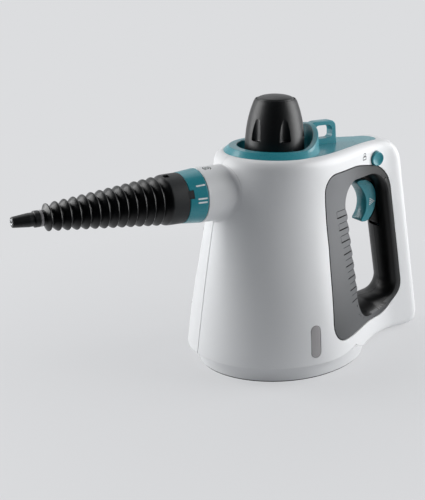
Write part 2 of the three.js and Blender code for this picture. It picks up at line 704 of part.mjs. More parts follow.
// Plan outline of the top cover and of the ledge that it lies on
const coverOutline = (margin, steps) => planOutline(section(TOP_Z - SHOULDER_ROUND, 0), margin,
  COVER_REAR_X - COVER_END_DEPTH, COVER_REAR_X + COVER_MARGIN - margin, 2, steps);

const coverFoot = TOP_Z - COVER_THICKNESS;
const coverPocket = plateZ(coverOutline(COVER_MARGIN - FIT, SKIN_STEPS), coverFoot - FIT, TOP_Z + OVERRUN);
const coverHole = plateZ(coverOutline(COVER_MARGIN + LEDGE, HOLLOW_STEPS), TOP_Z - TOP_WALL - OVERRUN,
  TOP_Z + OVERRUN);

// Everything under the body's lower edge
function belowEdge(gap) {
  const dropStart = SKIRT_REAR_X - EDGE_DROP_LEAD;
  const dropEnd = dropStart + EDGE_DROP_LENGTH;
  const drop = Array.from({ length: EDGE_DROP_STEPS + 1 }, (_, i) => {
    const share = i / EDGE_DROP_STEPS;
    return [mix(dropStart, dropEnd, share),
      HANDLE_FOOT_Z - OVERRUN - gap + (BODY_FOOT_Z - HANDLE_FOOT_Z + OVERRUN) * (1 - share) ** 2];
  });
  const under = HANDLE_FOOT_Z - 2 * OVERRUN;
  return plateY([[-FAR, under], [dropEnd, under], ...drop.reverse(), [-FAR, BODY_FOOT_Z - gap]], -FAR, FAR);
}

const neckOuter = turnedX([
  [0, NECK_INNER_X], [NECK_ROOT_RADIUS, NECK_INNER_X], [NECK_ROOT_RADIUS, NECK_ROOT_X],
  [mix(NECK_RADIUS, NECK_ROOT_RADIUS, NECK_FLARE_SHARE), NECK_ROOT_X - NECK_FLARE / 2],
  [NECK_RADIUS, NECK_ROOT_X - NECK_FLARE], [NECK_RADIUS, RING_REAR_X],
  [SPIGOT_RADIUS, RING_REAR_X], [SPIGOT_RADIUS, RING_FRONT_X + SPIGOT_END_GAP], [0, RING_FRONT_X + SPIGOT_END_GAP],
], FINE);
const spigotBore = SPIGOT_RADIUS - SPIGOT_WALL;
const neckBore = turnedX([
  [0, NECK_INNER_X + OVERRUN], [NECK_RADIUS - WALL, NECK_INNER_X + OVERRUN],
  [NECK_RADIUS - WALL, RING_REAR_X + NECK_FACE_WALL], [spigotBore, RING_REAR_X + NECK_FACE_WALL],
  [spigotBore, RING_FRONT_X - OVERRUN], [0, RING_FRONT_X - OVERRUN],
], FINE);

function stadium(width, height) {
  const radius = width / 2;
  const rise = height / 2 - radius;
  const arc = (from, centreZ) => Array.from({ length: SMALL / 2 + 1 }, (_, i) => {
    const turn = from + HALF_TURN * i / (SMALL / 2);
    return [LENS_X + radius * Math.cos(turn), centreZ + radius * Math.sin(turn)];
  });
  return [...arc(0, LENS_Z + rise), ...arc(HALF_TURN, LENS_Z - rise)];
}

const lampFace = LAMP_GAP - halfWidthAt(LENS_X, section(LENS_Z + LENS_HEIGHT / 2, LENS_THICKNESS));
const lensHole = plateY(stadium(LENS_WIDTH, LENS_HEIGHT), -FAR, lampFace);
const lampShelfTop = LENS_Z - LAMP_RADIUS - FIT;
const lampShelf = box([LENS_X - LAMP_SHELF_HALF_WIDTH, -FAR, lampShelfTop - LAMP_SHELF],
  [LENS_X + LAMP_SHELF_HALF_WIDTH, lampFace + LAMP_LENGTH, lampShelfTop]);
const lockHole = turnedY(rod(LOCK_RADIUS + FIT, -FAR, 0), MEDIUM, lockX, lockZ);
const inletEndX = section(INLET_Z, 0).rear - INLET_INSET;
const inletHole = turnedX(rod(INLET_RADIUS + FIT, section(INLET_Z, WALL).rear - OVERRUN, FAR), MEDIUM, INLET_Z);
const inletSeat = turnedX(rod(INLET_FLANGE_RADIUS + FIT, inletEndX - INLET_FLANGE, FAR), MEDIUM, INLET_Z);

// Bosses inside the halves: screw towers, pin bosses and the lock button's guide
const screwPlaces = SCREW_PLACE_SHARES.map(([along, up]) => {
  const level = section(up * TOP_Z, 0);
  return [along * (along < 0 ? level.front : level.rear), up * TOP_Z];
});
const screwTowers = screwPlaces.map(([x, z]) => turnedY(rod(SCREW_BOSS_RADIUS, -FAR, FAR), SMALL, x, z));
const screwHoles = screwPlaces.map(([x, z]) => turnedY(rod(SCREW_RADIUS + FIT, -SCREW_LENGTH, FAR), SMALL, x, z));
const screwSeatY = ([x, z]) => halfWidthAt(x, section(z, 0)) - SCREW_INSET;
const screwSeats = screwPlaces.map(([x, z]) =>
  turnedY(rod(SCREW_HEAD_RADIUS + FIT, screwSeatY([x, z]) - SCREW_HEAD, FAR), SMALL, x, z));
const bossEnd = LEVER_HALF_WIDTH + 2 * FIT;
const pinBosses = [[-FAR, -bossEnd], [bossEnd, FAR]].map(([low, high]) =>
  turnedY(rod(PIN_BOSS_RADIUS, low, high), COARSE, pinX, pinZ));
const pinRoom = PIN_HALF_LENGTH + FIT;
const pinHole = turnedY(rod(PIN_RADIUS + FIT, -pinRoom, pinRoom), SMALL, pinX, pinZ);
const lockGuide = turnedY(rod(LOCK_RADIUS + FIT + LOCK_GUIDE_WALL, -FAR, LOCK_FACE_Y + LOCK_HEAD), MEDIUM,
  lockX, lockZ);
const gripRoom = join(gripRecess, liningSeat);
const bosses = join(...screwTowers, ...pinBosses).intersect(outer);

// Towers for the base screws, each with a web to the wall
const basePlaces = [-1, 1].flatMap((end) => [-1, 1].map((side) =>
  [skirtCentre + end * skirtHalfLength * BASE_SCREW_SHARES[0], side * skirtHalfWidth * BASE_SCREW_SHARES[1]]));
const baseTowers = join(...basePlaces.map(([x, y]) => join(
  turnedZ(rod(SCREW_BOSS_RADIUS, PLATE_THICKNESS + FIT, BASE_TOWER_TOP), SMALL, x, y),
  box([x - BASE_TOWER_WEB / 2, Math.min(y, Math.sign(y) * FAR), BASE_WEB_FOOT],
    [x + BASE_TOWER_WEB / 2, Math.max(y, Math.sign(y) * FAR), BASE_TOWER_TOP]).intersect(outer),
)));
const baseHoles = basePlaces.map(([x, y]) =>
  turnedZ(rod(SCREW_RADIUS + FIT, -FAR, BASE_SCREW_LENGTH + FIT), SMALL, x, y));

function housingHalf(side, extras, holes) {
  const shell = cut(outer, inner);
  const lower = cut(join(shell, bosses), belowEdge(0));
  const whole = join(lower, neckOuter, baseTowers, ...extras);
  return cut(whole, neckBore, gripRoom, coverPocket, coverHole, pinHole, inletHole, inletSeat, ...baseHoles,
    ...holes).intersect(side);
}

const leftHousing = housingHalf(nearHalf, [join(lockGuide, lampShelf).intersect(outer)],
  [lensHole, lockHole, ...screwHoles]);
const rightHousing = housingHalf(farHalf, [], [...screwHoles, ...screwSeats]);

// Teal cover: plate, filler well, sloped collar with its hood, and the hanging loop
function topCover() {
  const collarRoot = TOP_HALF_WIDTH - COVER_MARGIN - FIT;
  const plate = plateZ(coverOutline(COVER_MARGIN, SKIN_STEPS), coverFoot, TOP_Z);
  const collar = turnedZ([
    [0, coverFoot], [collarRoot, coverFoot], [collarRoot, TOP_Z + FIT], [COLLAR_RADIUS, TOP_Z + FIT],
    [COLLAR_RIM_RADIUS, collarZ],
    [HOOD_RIM_RADIUS, hoodZ], [0, hoodZ],
  ], FINE);
  const hoodArc = Array.from({ length: COARSE / 2 + 1 }, (_, i) => {
    const turn = QUARTER_TURN * i / (COARSE / 2);
    return [HOOD_START_X + HOOD_RISE_LENGTH * Math.sin(turn), hoodZ - (hoodZ - collarZ) * Math.cos(turn)];
  });
  const overHood = hoodZ + OVERRUN;
  const slope = plateY([[-FAR, collarZ], ...hoodArc, [HOOD_START_X + HOOD_RISE_LENGTH, overHood],
    [-FAR, overHood]], -FAR, FAR);
  const loopEnd = LOOP_START_X + LOOP_LENGTH;
  const loop = plateY(roundedLoop([
    [LOOP_START_X, coverFoot, FIT], [loopEnd, coverFoot, FIT], [loopEnd - LOOP_TAPER, loopZ, LOOP_ROUND],
    [LOOP_START_X, loopZ, FIT],
  ], CORNER_STEPS), -LOOP_HALF_WIDTH, LOOP_HALF_WIDTH);
  const windowStart = LOOP_START_X + WINDOW_FROM_START;
  const windowEnd = windowStart + WINDOW_LENGTH;
  const windowTop = loopZ - WINDOW_TOP_WALL;
  const windowLow = windowTop - WINDOW_HEIGHT;
  const window = plateY(roundedLoop([
    [windowStart, windowLow, WINDOW_ROUND / 2], [windowEnd, windowLow, WINDOW_ROUND / 2],
    [windowEnd, windowTop, WINDOW_ROUND], [windowStart, windowTop, WINDOW_ROUND],
  ], SEAT_CORNER_STEPS), -FAR, FAR);
  const well = turnedZ(rod(WELL_RADIUS + WELL_WALL, wellFloorZ - WELL_FLOOR_THICKNESS, TOP_Z), FINE);
  const wellRoom = turnedZ(rod(WELL_RADIUS, wellFloorZ, hoodZ + OVERRUN), FINE);
  const neckHole = turnedZ(rod(FILLER_RADIUS + FIT, -FAR, FAR), MEDIUM);
  return cut(join(plate, cut(collar, slope), cut(loop, window), well), wellRoom, neckHole);
}

// Filler cap
const capRadius = (z) => CAP_FOOT_RADIUS
  - (CAP_FOOT_RADIUS - CAP_EDGE_RADIUS) * ((z - capFootZ) / CAP_HEIGHT) ** CAP_TAPER_POWER;
const flangeZ = fillerTopZ + 2 * FIT + GASKET_THICKNESS;
const discSeatZ = capEdgeZ - DISC_POCKET_DEPTH;

function capKnob() {
  const side = Array.from({ length: CAP_STEPS + 1 }, (_, i) => {
    const z = mix(capFootZ, capEdgeZ - CAP_EDGE_ROUND, i / CAP_STEPS);
    return [capRadius(z), z];
  });
  const knob = turnedZ([
    [0, capFootZ], ...side, [CAP_EDGE_RADIUS - CAP_EDGE_ROUND / 2, capEdgeZ], [DISC_RADIUS + FIT, capEdgeZ],
    [DISC_RADIUS + FIT, discSeatZ], [0, discSeatZ],
  ], FINE);
  const stemRoom = turnedZ([
    [0, capFootZ - OVERRUN], [STEM_FLANGE_RADIUS + FIT, capFootZ - OVERRUN],
    [STEM_FLANGE_RADIUS + FIT, flangeZ + STEM_FLANGE_HEIGHT + FIT],
    [STEM_HEAD_RADIUS + FIT, flangeZ + STEM_FLANGE_HEIGHT + FIT],
    [STEM_HEAD_RADIUS + FIT, stemHeadZ + FIT], [0, stemHeadZ + FIT],
  ], MEDIUM);
  const scallops = Array.from({ length: SCALLOPS }, (_, i) => {
    const turn = radians(SCALLOP_FIRST_DEG + i * 360 / SCALLOPS);
    const reach = SCALLOP_INNER + SCALLOP_RADIUS;
    return turnedZ(rod(SCALLOP_RADIUS, capFootZ + SCALLOP_RISE, capEdgeZ), COARSE,
      reach * Math.cos(turn), reach * Math.sin(turn));
  });
  return cut(knob, stemRoom, ...scallops);
}

const capDisc = turnedZ([
  [0, discSeatZ + FIT], [DISC_RADIUS, discSeatZ + FIT], [DISC_RADIUS, discSeatZ + DISC_THICKNESS],
  ...DISC_DOME_SHARES.map(([out, up]) => [DISC_RADIUS * out, discSeatZ + DISC_THICKNESS + DISC_DOME * up]),
  [0, discSeatZ + DISC_THICKNESS + DISC_DOME],
], FINE);

const capStem = turnedZ([
  [RELIEF_SEAT_BORE, stemFootZ], [STEM_RADIUS, stemFootZ], [STEM_RADIUS, flangeZ],
  [STEM_FLANGE_RADIUS, flangeZ], [STEM_FLANGE_RADIUS, flangeZ + STEM_FLANGE_HEIGHT],
  [STEM_HEAD_RADIUS, flangeZ + STEM_FLANGE_HEIGHT], [STEM_HEAD_RADIUS, stemHeadZ],
  [RELIEF_SEAT_BORE, stemHeadZ], [RELIEF_SEAT_BORE, reliefSpringTopZ], [RELIEF_BORE, reliefSpringTopZ],
  [RELIEF_BORE, reliefSeatZ], [RELIEF_SEAT_BORE, reliefSeatZ], [RELIEF_SEAT_BORE, stemFootZ],
], MEDIUM);
const capGasket = turnedZ(tube(FILLER_RADIUS, STEM_RADIUS + FIT, fillerTopZ + FIT, fillerTopZ + FIT
  + GASKET_THICKNESS), MEDIUM);
const reliefTopZ = reliefSeatZ + FIT + RELIEF_LENGTH;
const reliefPlunger = turnedZ([
  [0, reliefSeatZ - RELIEF_TIP], [RELIEF_SEAT_BORE - FIT, reliefSeatZ - RELIEF_TIP],
  [RELIEF_SEAT_BORE - FIT, reliefSeatZ + FIT], [RELIEF_BORE - FIT, reliefSeatZ + FIT],
  [RELIEF_BORE - FIT, reliefTopZ], [0, reliefTopZ],
], COARSE);

// A round bar along a smooth path
function barAlong(points, radius, sides, steps) {
  const corners = Array.from({ length: sides }, (_, i) => {
    const turn = 2 * HALF_TURN * i / sides;
    return new THREE.Vector2(radius * Math.cos(turn), radius * Math.sin(turn));
  });
  return new THREE.ExtrudeGeometry(new THREE.Shape(corners), {
    steps, extrudePath: new THREE.CatmullRomCurve3(points),
  });
}

// A coil spring as one wire swept along a helix, upright from low to high
function spring(radius, low, high) {
  const rise = high - low - 2 * SPRING_WIRE;
  const count = SPRING_TURNS * SPRING_STEPS;
  const points = Array.from({ length: count + 1 }, (_, i) => {
    const turn = 2 * HALF_TURN * SPRING_TURNS * i / count;
    return new THREE.Vector3(radius * Math.cos(turn), radius * Math.sin(turn),
      low + SPRING_WIRE + rise * i / count);
  });
  return barAlong(points, SPRING_WIRE, SPRING_SIDES, count);
}

// Boiler: two cast halves, the brass filler neck and the parts under and beside it
const boilerBore = BOILER_RADIUS - BOILER_WALL;
const boilerEdge = BOILER_ROUND * EDGE_SHARE;
const boilerLower = turnedZ([
  [0, BOILER_FOOT_Z], [BOILER_RADIUS - BOILER_ROUND, BOILER_FOOT_Z],
  [BOILER_RADIUS - boilerEdge, BOILER_FOOT_Z + boilerEdge], [BOILER_RADIUS, BOILER_FOOT_Z + BOILER_ROUND],
  [BOILER_RADIUS, BOILER_SPLIT_Z - BOILER_FLANGE], [BOILER_FLANGE_RADIUS, BOILER_SPLIT_Z - BOILER_FLANGE],
  [BOILER_FLANGE_RADIUS, BOILER_SPLIT_Z], [boilerBore, BOILER_SPLIT_Z],
  [boilerBore, BOILER_FOOT_Z + BOILER_ROUND], [BOILER_RADIUS - BOILER_ROUND, BOILER_FOOT_Z + BOILER_WALL],
  [0, BOILER_FOOT_Z + BOILER_WALL],
], MEDIUM);
const upperStart = BOILER_SPLIT_Z + FIT;
const boilerUpper = turnedZ([
  [boilerBore, upperStart], [BOILER_FLANGE_RADIUS, upperStart],
  [BOILER_FLANGE_RADIUS, upperStart + BOILER_FLANGE], [BOILER_RADIUS, upperStart + BOILER_FLANGE],
  [BOILER_RADIUS, BOILER_TOP_Z - BOILER_ROUND], [BOILER_RADIUS - boilerEdge, BOILER_TOP_Z - boilerEdge],
  [BOILER_RADIUS - BOILER_ROUND * BOILER_CROWN_SHARE, BOILER_TOP_Z], [FILLER_RADIUS + FIT, BOILER_TOP_Z],
  [FILLER_RADIUS + FIT, BOILER_TOP_Z - BOILER_WALL], [BOILER_RADIUS - BOILER_ROUND, BOILER_TOP_Z - BOILER_WALL],
  [boilerBore, BOILER_TOP_Z - BOILER_ROUND], [boilerBore, upperStart],
], MEDIUM);
const fillerNeck = turnedZ([
  [FILLER_BORE, BOILER_TOP_Z - BOILER_WALL], [FILLER_RADIUS, BOILER_TOP_Z - BOILER_WALL],
  [FILLER_RADIUS, BOILER_TOP_Z + FIT], [FILLER_FLANGE_RADIUS, BOILER_TOP_Z + FIT],
  [FILLER_FLANGE_RADIUS, BOILER_TOP_Z + FIT + FILLER_FLANGE], [FILLER_RADIUS, BOILER_TOP_Z + FIT + FILLER_FLANGE],
  [FILLER_RADIUS, fillerTopZ], [FILLER_BORE, fillerTopZ], [FILLER_BORE, BOILER_TOP_Z - BOILER_WALL],
], MEDIUM);

const elementZ = BOILER_FOOT_Z - FIT - ELEMENT_RADIUS;
const elementPath = Array.from({ length: ELEMENT_STEPS + 1 }, (_, i) => {
  const turn = radians((360 - ELEMENT_SPAN_DEG) / 2 + ELEMENT_SPAN_DEG * i / ELEMENT_STEPS);
  return new THREE.Vector3(ELEMENT_RING_RADIUS * Math.cos(turn), ELEMENT_RING_RADIUS * Math.sin(turn), elementZ);
});
const heatingElement = barAlong(elementPath, ELEMENT_RADIUS, COARSE / 2, ELEMENT_STEPS);
const thermostatTop = BOILER_FOOT_Z - FIT;
const thermostatCan = THERMOSTAT_RADIUS * THERMOSTAT_CAN_SHARE;
const thermostat = turnedZ([
  [0, thermostatTop - THERMOSTAT_HEIGHT], [thermostatCan, thermostatTop - THERMOSTAT_HEIGHT],
  [thermostatCan, thermostatTop - THERMOSTAT_HEIGHT / 2],
  [THERMOSTAT_RADIUS, thermostatTop - THERMOSTAT_HEIGHT / 2],
  [THERMOSTAT_RADIUS, thermostatTop], [0, thermostatTop],
], COARSE);
const fuseReach = BOILER_RADIUS + FIT + FUSE_RADIUS;
const thermalFuse = turnedZ(rod(FUSE_RADIUS, FUSE_HEIGHT - FUSE_LENGTH, FUSE_HEIGHT), SMALL, 0, -fuseReach);

// Steam valve on the boiler's top, with the spindle's bore open towards the trigger
const valveBoreStart = VALVE_END_X - VALVE_BORE_DEPTH;
const steamValve = cut(
  join(
    box([VALVE_START_X, -VALVE_HALF_WIDTH, valveLowZ], [VALVE_END_X, VALVE_HALF_WIDTH, rodZ + VALVE_ABOVE_ROD]),
    turnedZ(rod(VALVE_FOOT_RADIUS, BOILER_TOP_Z + FIT, valveLowZ + FIT), COARSE, VALVE_FOOT_X, 0),
  ),
  turnedZ(rod(FILLER_FLANGE_RADIUS + FIT, -FAR, BOILER_TOP_Z + 2 * FIT + FILLER_FLANGE), MEDIUM),
  turnedX(rod(VALVE_BORE, valveBoreStart, VALVE_END_X + OVERRUN), COARSE, rodZ),
);
const spindleEnd = VALVE_END_X - SPINDLE_REACH;
const armFront = Math.min(...ARM_SHARES.map(([along]) => along * ARM_LENGTH));
const rodEndX = pinX + armFront - ROD_END_GAP;
const pushRod = join(
  box([VALVE_END_X + OVERRUN, -ROD_HALF_WIDTH, rodZ - ROD_HALF_HEIGHT],
    [rodEndX, ROD_HALF_WIDTH, rodZ + ROD_HALF_HEIGHT]),
  turnedX(rod(SPINDLE_RADIUS, spindleEnd + SPINDLE_HEAD / 2, VALVE_END_X + 2 * OVERRUN), COARSE, rodZ),
  turnedX(rod(SPINDLE_HEAD_RADIUS, spindleEnd, spindleEnd + SPINDLE_HEAD), COARSE, rodZ),
);
const returnSpringLength = spindleEnd - valveBoreStart - 2 * FIT - ROD_TRAVEL;
const returnSpring = spring(SPINDLE_HEAD_RADIUS - SPRING_WIRE - FIT, 0, returnSpringLength);
returnSpring.rotateY(QUARTER_TURN);
returnSpring.translate(valveBoreStart + FIT, 0, rodZ);
const reliefSpring = spring(RELIEF_BORE - SPRING_WIRE - FIT, reliefTopZ + FIT, reliefSpringTopZ - FIT);

const tubeStart = new THREE.Vector3(VALVE_FOOT_X, VALVE_HALF_WIDTH + FIT, (valveLowZ + rodZ) / 2);
const tubeEnd = new THREE.Vector3(SOCKET_REAR_X + FIT, 0, NOZZLE_Z);
const tubeSide = FILLER_RADIUS + 3 * STEAM_TUBE_RADIUS;
const steamTube = barAlong([
  tubeStart,
  tubeStart.clone().add(new THREE.Vector3(0, 2 * STEAM_TUBE_RADIUS, 0)),
  new THREE.Vector3(FILLER_RADIUS / 2, tubeSide, (tubeStart.z + NOZZLE_Z) / 2),
  new THREE.Vector3(-FILLER_RADIUS, tubeSide * TUBE_BEND_SHARE, NOZZLE_Z),
  tubeEnd.clone().add(new THREE.Vector3(4 * STEAM_TUBE_RADIUS, STEAM_TUBE_RADIUS, 0)),
  tubeEnd.clone().add(new THREE.Vector3(2 * STEAM_TUBE_RADIUS, 0, 0)),
  tubeEnd,
], STEAM_TUBE_RADIUS, COARSE / 2, COARSE);

const noseStart = SOCKET_FRONT_X + SOCKET_NOSE;
const flangeFront = RING_FRONT_X + SPIGOT_END_GAP;
const outletSocket = turnedX([
  [SOCKET_BORE, SOCKET_REAR_X], [SOCKET_RADIUS, SOCKET_REAR_X], [SOCKET_RADIUS, flangeFront + SOCKET_FLANGE],
  [spigotBore - FIT, flangeFront + SOCKET_FLANGE], [spigotBore - FIT, flangeFront], [SOCKET_RADIUS, flangeFront],
  [SOCKET_RADIUS, noseStart], [SOCKET_NOSE_RADIUS, noseStart], [SOCKET_NOSE_RADIUS, SOCKET_FRONT_X],
  [SOCKET_BORE, SOCKET_FRONT_X], [SOCKET_BORE, SOCKET_REAR_X],
], MEDIUM);
const sealStart = noseStart - SEAL_FROM_NOSE;
const nozzleSeal = turnedX(tube(SOCKET_RADIUS, SOCKET_NOSE_RADIUS + FIT, sealStart - SEAL_LENGTH, sealStart), MEDIUM);

// Pieces at an angle round the nozzle's axis, from the top towards -Y
function roundNozzle(solid, degrees) {
  const geometry = toGeometry(solid);
  geometry.translate(0, 0, -NOZZLE_Z);
  geometry.rotateX(radians(-degrees));
  geometry.translate(0, 0, NOZZLE_Z);
  return toSolid(geometry);
}

const tabCrestZ = NOZZLE_Z + RING_FRONT_RADIUS;
const tabBlock = (gap) => roundNozzle(box(
  [RING_FRONT_X - OVERRUN, -TAB_WIDTH / 2 - gap, tabCrestZ - TAB_HEIGHT - gap],
  [RING_FRONT_X + TAB_LENGTH + gap, TAB_WIDTH / 2 + gap, tabCrestZ + OVERRUN],
), TAB_DEG);
const ringBore = SPIGOT_RADIUS + RING_BORE_FIT;
const ringProfile = [
  [ringBore, RING_REAR_X - FIT], [RING_REAR_RADIUS, RING_REAR_X - FIT],
  [RING_FRONT_RADIUS, RING_FRONT_X], [ringBore, RING_FRONT_X], [ringBore, RING_REAR_X - FIT],
];
const lockRing = cut(turnedX(ringProfile, FINE), tabBlock(FIT));

// Ribbed heat guard: each rib rises sharply behind and slopes away towards the tip
const shroudCore = FIRST_RIB_RADIUS - RIB_DEPTH - SHROUD_WALL;
function nozzleShroud() {
  const ribs = Array.from({ length: RIBS }, (_, i) => {
    const along = FIRST_RIB + RIB_PITCH * i;
    const crest = FIRST_RIB_RADIUS - RIB_STEP * i;
    return [
      [crest - RIB_DEPTH, ringX(along - RIB_PITCH * RIB_RISE_SHARE)],
      [crest, ringX(along)],
      [crest - RIB_DEPTH * RIB_SLOPE_DEPTH_SHARE - RIB_STEP, ringX(along + RIB_PITCH * RIB_SLOPE_SHARE)],
    ];
  }).flat();
  const shroudStart = RING_FRONT_X - FIT;
  const outline = [
    [SHROUD_REAR_RADIUS, shroudStart], [FIRST_RIB_RADIUS + RIB_STEP / 2, ringX(FIRST_RIB - RIB_PITCH / 2)],
    ...ribs,
    [SHROUD_END_RADIUS + FIT, ringX(lastRib + RIB_PITCH * LAST_SLOPE_SHARE)], [SHROUD_END_RADIUS, ringX(shroudEnd)],
    [PIPE_RADIUS + FIT, ringX(shroudEnd)], [PIPE_RADIUS + FIT, ringX(lastRib)],
    [shroudCore, ringX(FIRST_RIB)], [shroudCore, shroudStart], [SHROUD_REAR_RADIUS, shroudStart],
  ];
  const tab = turnedX(ringProfile, FINE).intersect(tabBlock(0));
  const bridge = tabBlock(0).intersect(turnedX(tube(RING_FRONT_RADIUS, shroudCore, shroudStart - FIT,
    RING_FRONT_X + FIT), FINE));
  const latchZ = NOZZLE_Z + SHROUD_REAR_RADIUS;
  const latch = roundNozzle(box(
    [RING_FRONT_X - LATCH_FROM_RING - LATCH_LENGTH, -LATCH_WIDTH / 2, latchZ - LATCH_DEPTH],
    [RING_FRONT_X - LATCH_FROM_RING, LATCH_WIDTH / 2, latchZ + OVERRUN],
  ), LATCH_DEG);
  return cut(join(turnedX(outline, RIB_SEGMENTS), tab, bridge), latch);
}

const cupBore = SOCKET_RADIUS + FIT;
const cupStart = RING_FRONT_X - 2 * FIT;
const nozzlePipe = turnedX([
  [cupBore, cupStart], [shroudCore - FIT, cupStart], [shroudCore - FIT, cupStart - PIPE_FLANGE],
  [PIPE_CUP_RADIUS, cupStart - PIPE_FLANGE], [PIPE_CUP_RADIUS, ringX(PIPE_CUP_END)],
  [PIPE_RADIUS, ringX(PIPE_CUP_END + PIPE_CUP_RADIUS - PIPE_RADIUS)], [PIPE_RADIUS, ringX(pipeEnd)],
  [PIPE_BORE, ringX(pipeEnd)], [PIPE_BORE, SOCKET_FRONT_X - FIT], [cupBore, SOCKET_FRONT_X - FIT],
  [cupBore, cupStart],
], MEDIUM);
const tipBore = PIPE_RADIUS + FIT;
const tipRing = turnedX(tube(TIP_RING_RADIUS, tipBore, ringX(tipRingEnd), ringX(tipRingStart)), MEDIUM);
const insertStart = tipEnd - INSERT_LENGTH;
const nozzleTip = turnedX([
  [tipBore, ringX(tipStart)], [TIP_FLANGE_RADIUS, ringX(tipStart)],
  [TIP_FLANGE_RADIUS, ringX(tipStart + TIP_FLANGE)], [TIP_BODY_RADIUS, ringX(tipStart + TIP_FLANGE)],
  [TIP_END_RADIUS, ringX(tipEnd)], [INSERT_RADIUS + FIT, ringX(tipEnd)],
  [INSERT_RADIUS + FIT, ringX(insertStart)], [PIPE_BORE, ringX(insertStart)],
  [PIPE_BORE, ringX(pipeEnd + FIT)], [tipBore, ringX(pipeEnd + FIT)], [tipBore, ringX(tipStart)],
], MEDIUM);
const tipInsert = turnedX(tube(INSERT_RADIUS, INSERT_BORE, ringX(tipEnd + FIT), ringX(insertStart + FIT)), COARSE);

// Trigger
const padOutline = placed([...PAD_FRONT_SHARES, ...PAD_BACK_SHARES], pinX - PAD_LENGTH, pinZ - PAD_DROP,
  PAD_LENGTH, PAD_HEIGHT);
const triggerPad = plateY(padOutline, -TRIGGER_HALF_WIDTH, TRIGGER_HALF_WIDTH, PAD_BEVEL);
const leverHole = turnedY(rod(PIN_RADIUS + PIN_FIT, -FAR, FAR), COARSE, pinX, pinZ);
const padRoom = plateY(padOutline, -FAR, FAR);
const triggerLever = cut(
  join(
    plateY(placed(LEVER_SHARES, pinX, pinZ, LEVER_LENGTH, LEVER_DROP), -LEVER_HALF_WIDTH, LEVER_HALF_WIDTH),
    turnedY(rod(LEVER_BOSS_RADIUS, -LEVER_HALF_WIDTH, LEVER_HALF_WIDTH), COARSE, pinX, pinZ),
    plateY(placed(ARM_SHARES, pinX, pinZ, ARM_LENGTH, ARM_RISE), -ARM_HALF_WIDTH, ARM_HALF_WIDTH),
  ),
  leverHole,
  padRoom,
);
const triggerPin = turnedY(rod(PIN_RADIUS, -PIN_HALF_LENGTH, PIN_HALF_LENGTH), COARSE, pinX, pinZ);

const lockButton = turnedY([
  [0, LOCK_FACE_Y], [LOCK_RADIUS - LOCK_EDGE_ROUND, LOCK_FACE_Y],
  [LOCK_RADIUS - LOCK_EDGE_ROUND * EDGE_SHARE, LOCK_FACE_Y + LOCK_EDGE_ROUND * EDGE_SHARE],
  [LOCK_RADIUS, LOCK_FACE_Y + LOCK_EDGE_ROUND], [LOCK_RADIUS, LOCK_FACE_Y + LOCK_HEAD],
  [LOCK_STEM_RADIUS, LOCK_FACE_Y + LOCK_HEAD], [LOCK_STEM_RADIUS, LOCK_STEM_END_Y], [0, LOCK_STEM_END_Y],
], MEDIUM, lockX, lockZ);

// Skirt and base plate
function ellipse(grow) {
  return Array.from({ length: SKIRT_SEGMENTS }, (_, i) => {
    const turn = 2 * HALF_TURN * i / SKIRT_SEGMENTS;
    return [skirtCentre + (skirtHalfLength + grow) * Math.cos(turn), (skirtHalfWidth + grow) * Math.sin(turn)];
  });
}

const skirtTopZ = BODY_FOOT_Z + FIT + SKIRT_FLANGE;
const ellipseAt = (grow, z) => ellipse(grow).map(([x, y]) => new THREE.Vector3(x, y, z));
const skirtRoom = housingLoft(WALL + FIT, TOP_WALL, HOLLOW_STEPS);
const skirt = cut(
  join(
    loft([ellipseAt(0, SKIRT_FOOT_Z), ellipseAt(SKIRT_FLARE, skirtTopZ)], planView),
    plateZ(ellipse(SKIRT_FLANGE_REACH), skirtTopZ - SKIRT_FLANGE, skirtTopZ).intersect(skirtRoom),
  ),
  loft([ellipseAt(-SKIRT_WALL, SKIRT_FOOT_Z - OVERRUN), ellipseAt(-SKIRT_WALL, SKIRT_FOOT_Z),
    ellipseAt(SKIRT_FLARE - SKIRT_WALL, skirtTopZ), ellipseAt(SKIRT_FLARE - SKIRT_WALL, skirtTopZ + OVERRUN)],
  planView),
).intersect(join(skirtRoom, belowEdge(FIT)));
const posts = Array.from({ length: POSTS }, (_, i) => {
  const turn = HALF_TURN + 2 * HALF_TURN * i / POSTS;
  return turnedZ(rod(POST_RADIUS, PLATE_FOOT, BOILER_FOOT_Z - FIT), SMALL,
    POST_RING_RADIUS * Math.cos(turn), POST_RING_RADIUS * Math.sin(turn));
});
const baseHeadRooms = basePlaces.map(([x, y]) =>
  turnedZ(rod(SCREW_HEAD_RADIUS + FIT, -OVERRUN, BASE_SCREW_HEAD_Z + SCREW_HEAD), SMALL, x, y));
const basePlate = cut(
  join(
    plateZ(ellipse(-PLATE_MARGIN), 0, PLATE_FOOT),
    plateZ(ellipse(-SKIRT_WALL - FIT), PLATE_FOOT - FIT, PLATE_THICKNESS),
    ...posts,
  ),
  ...baseHeadRooms,
  ...baseHoles,
);
const baseScrews = basePlaces.map(([x, y]) => {
  const seat = BASE_SCREW_HEAD_Z + SCREW_HEAD - FIT;
  return turnedZ([
    [0, BASE_SCREW_HEAD_Z], [SCREW_HEAD_RADIUS, BASE_SCREW_HEAD_Z], [SCREW_HEAD_RADIUS, seat],
    [SCREW_RADIUS, seat], [SCREW_RADIUS, BASE_SCREW_LENGTH], [0, BASE_SCREW_LENGTH],
  ], SMALL, x, y);
});

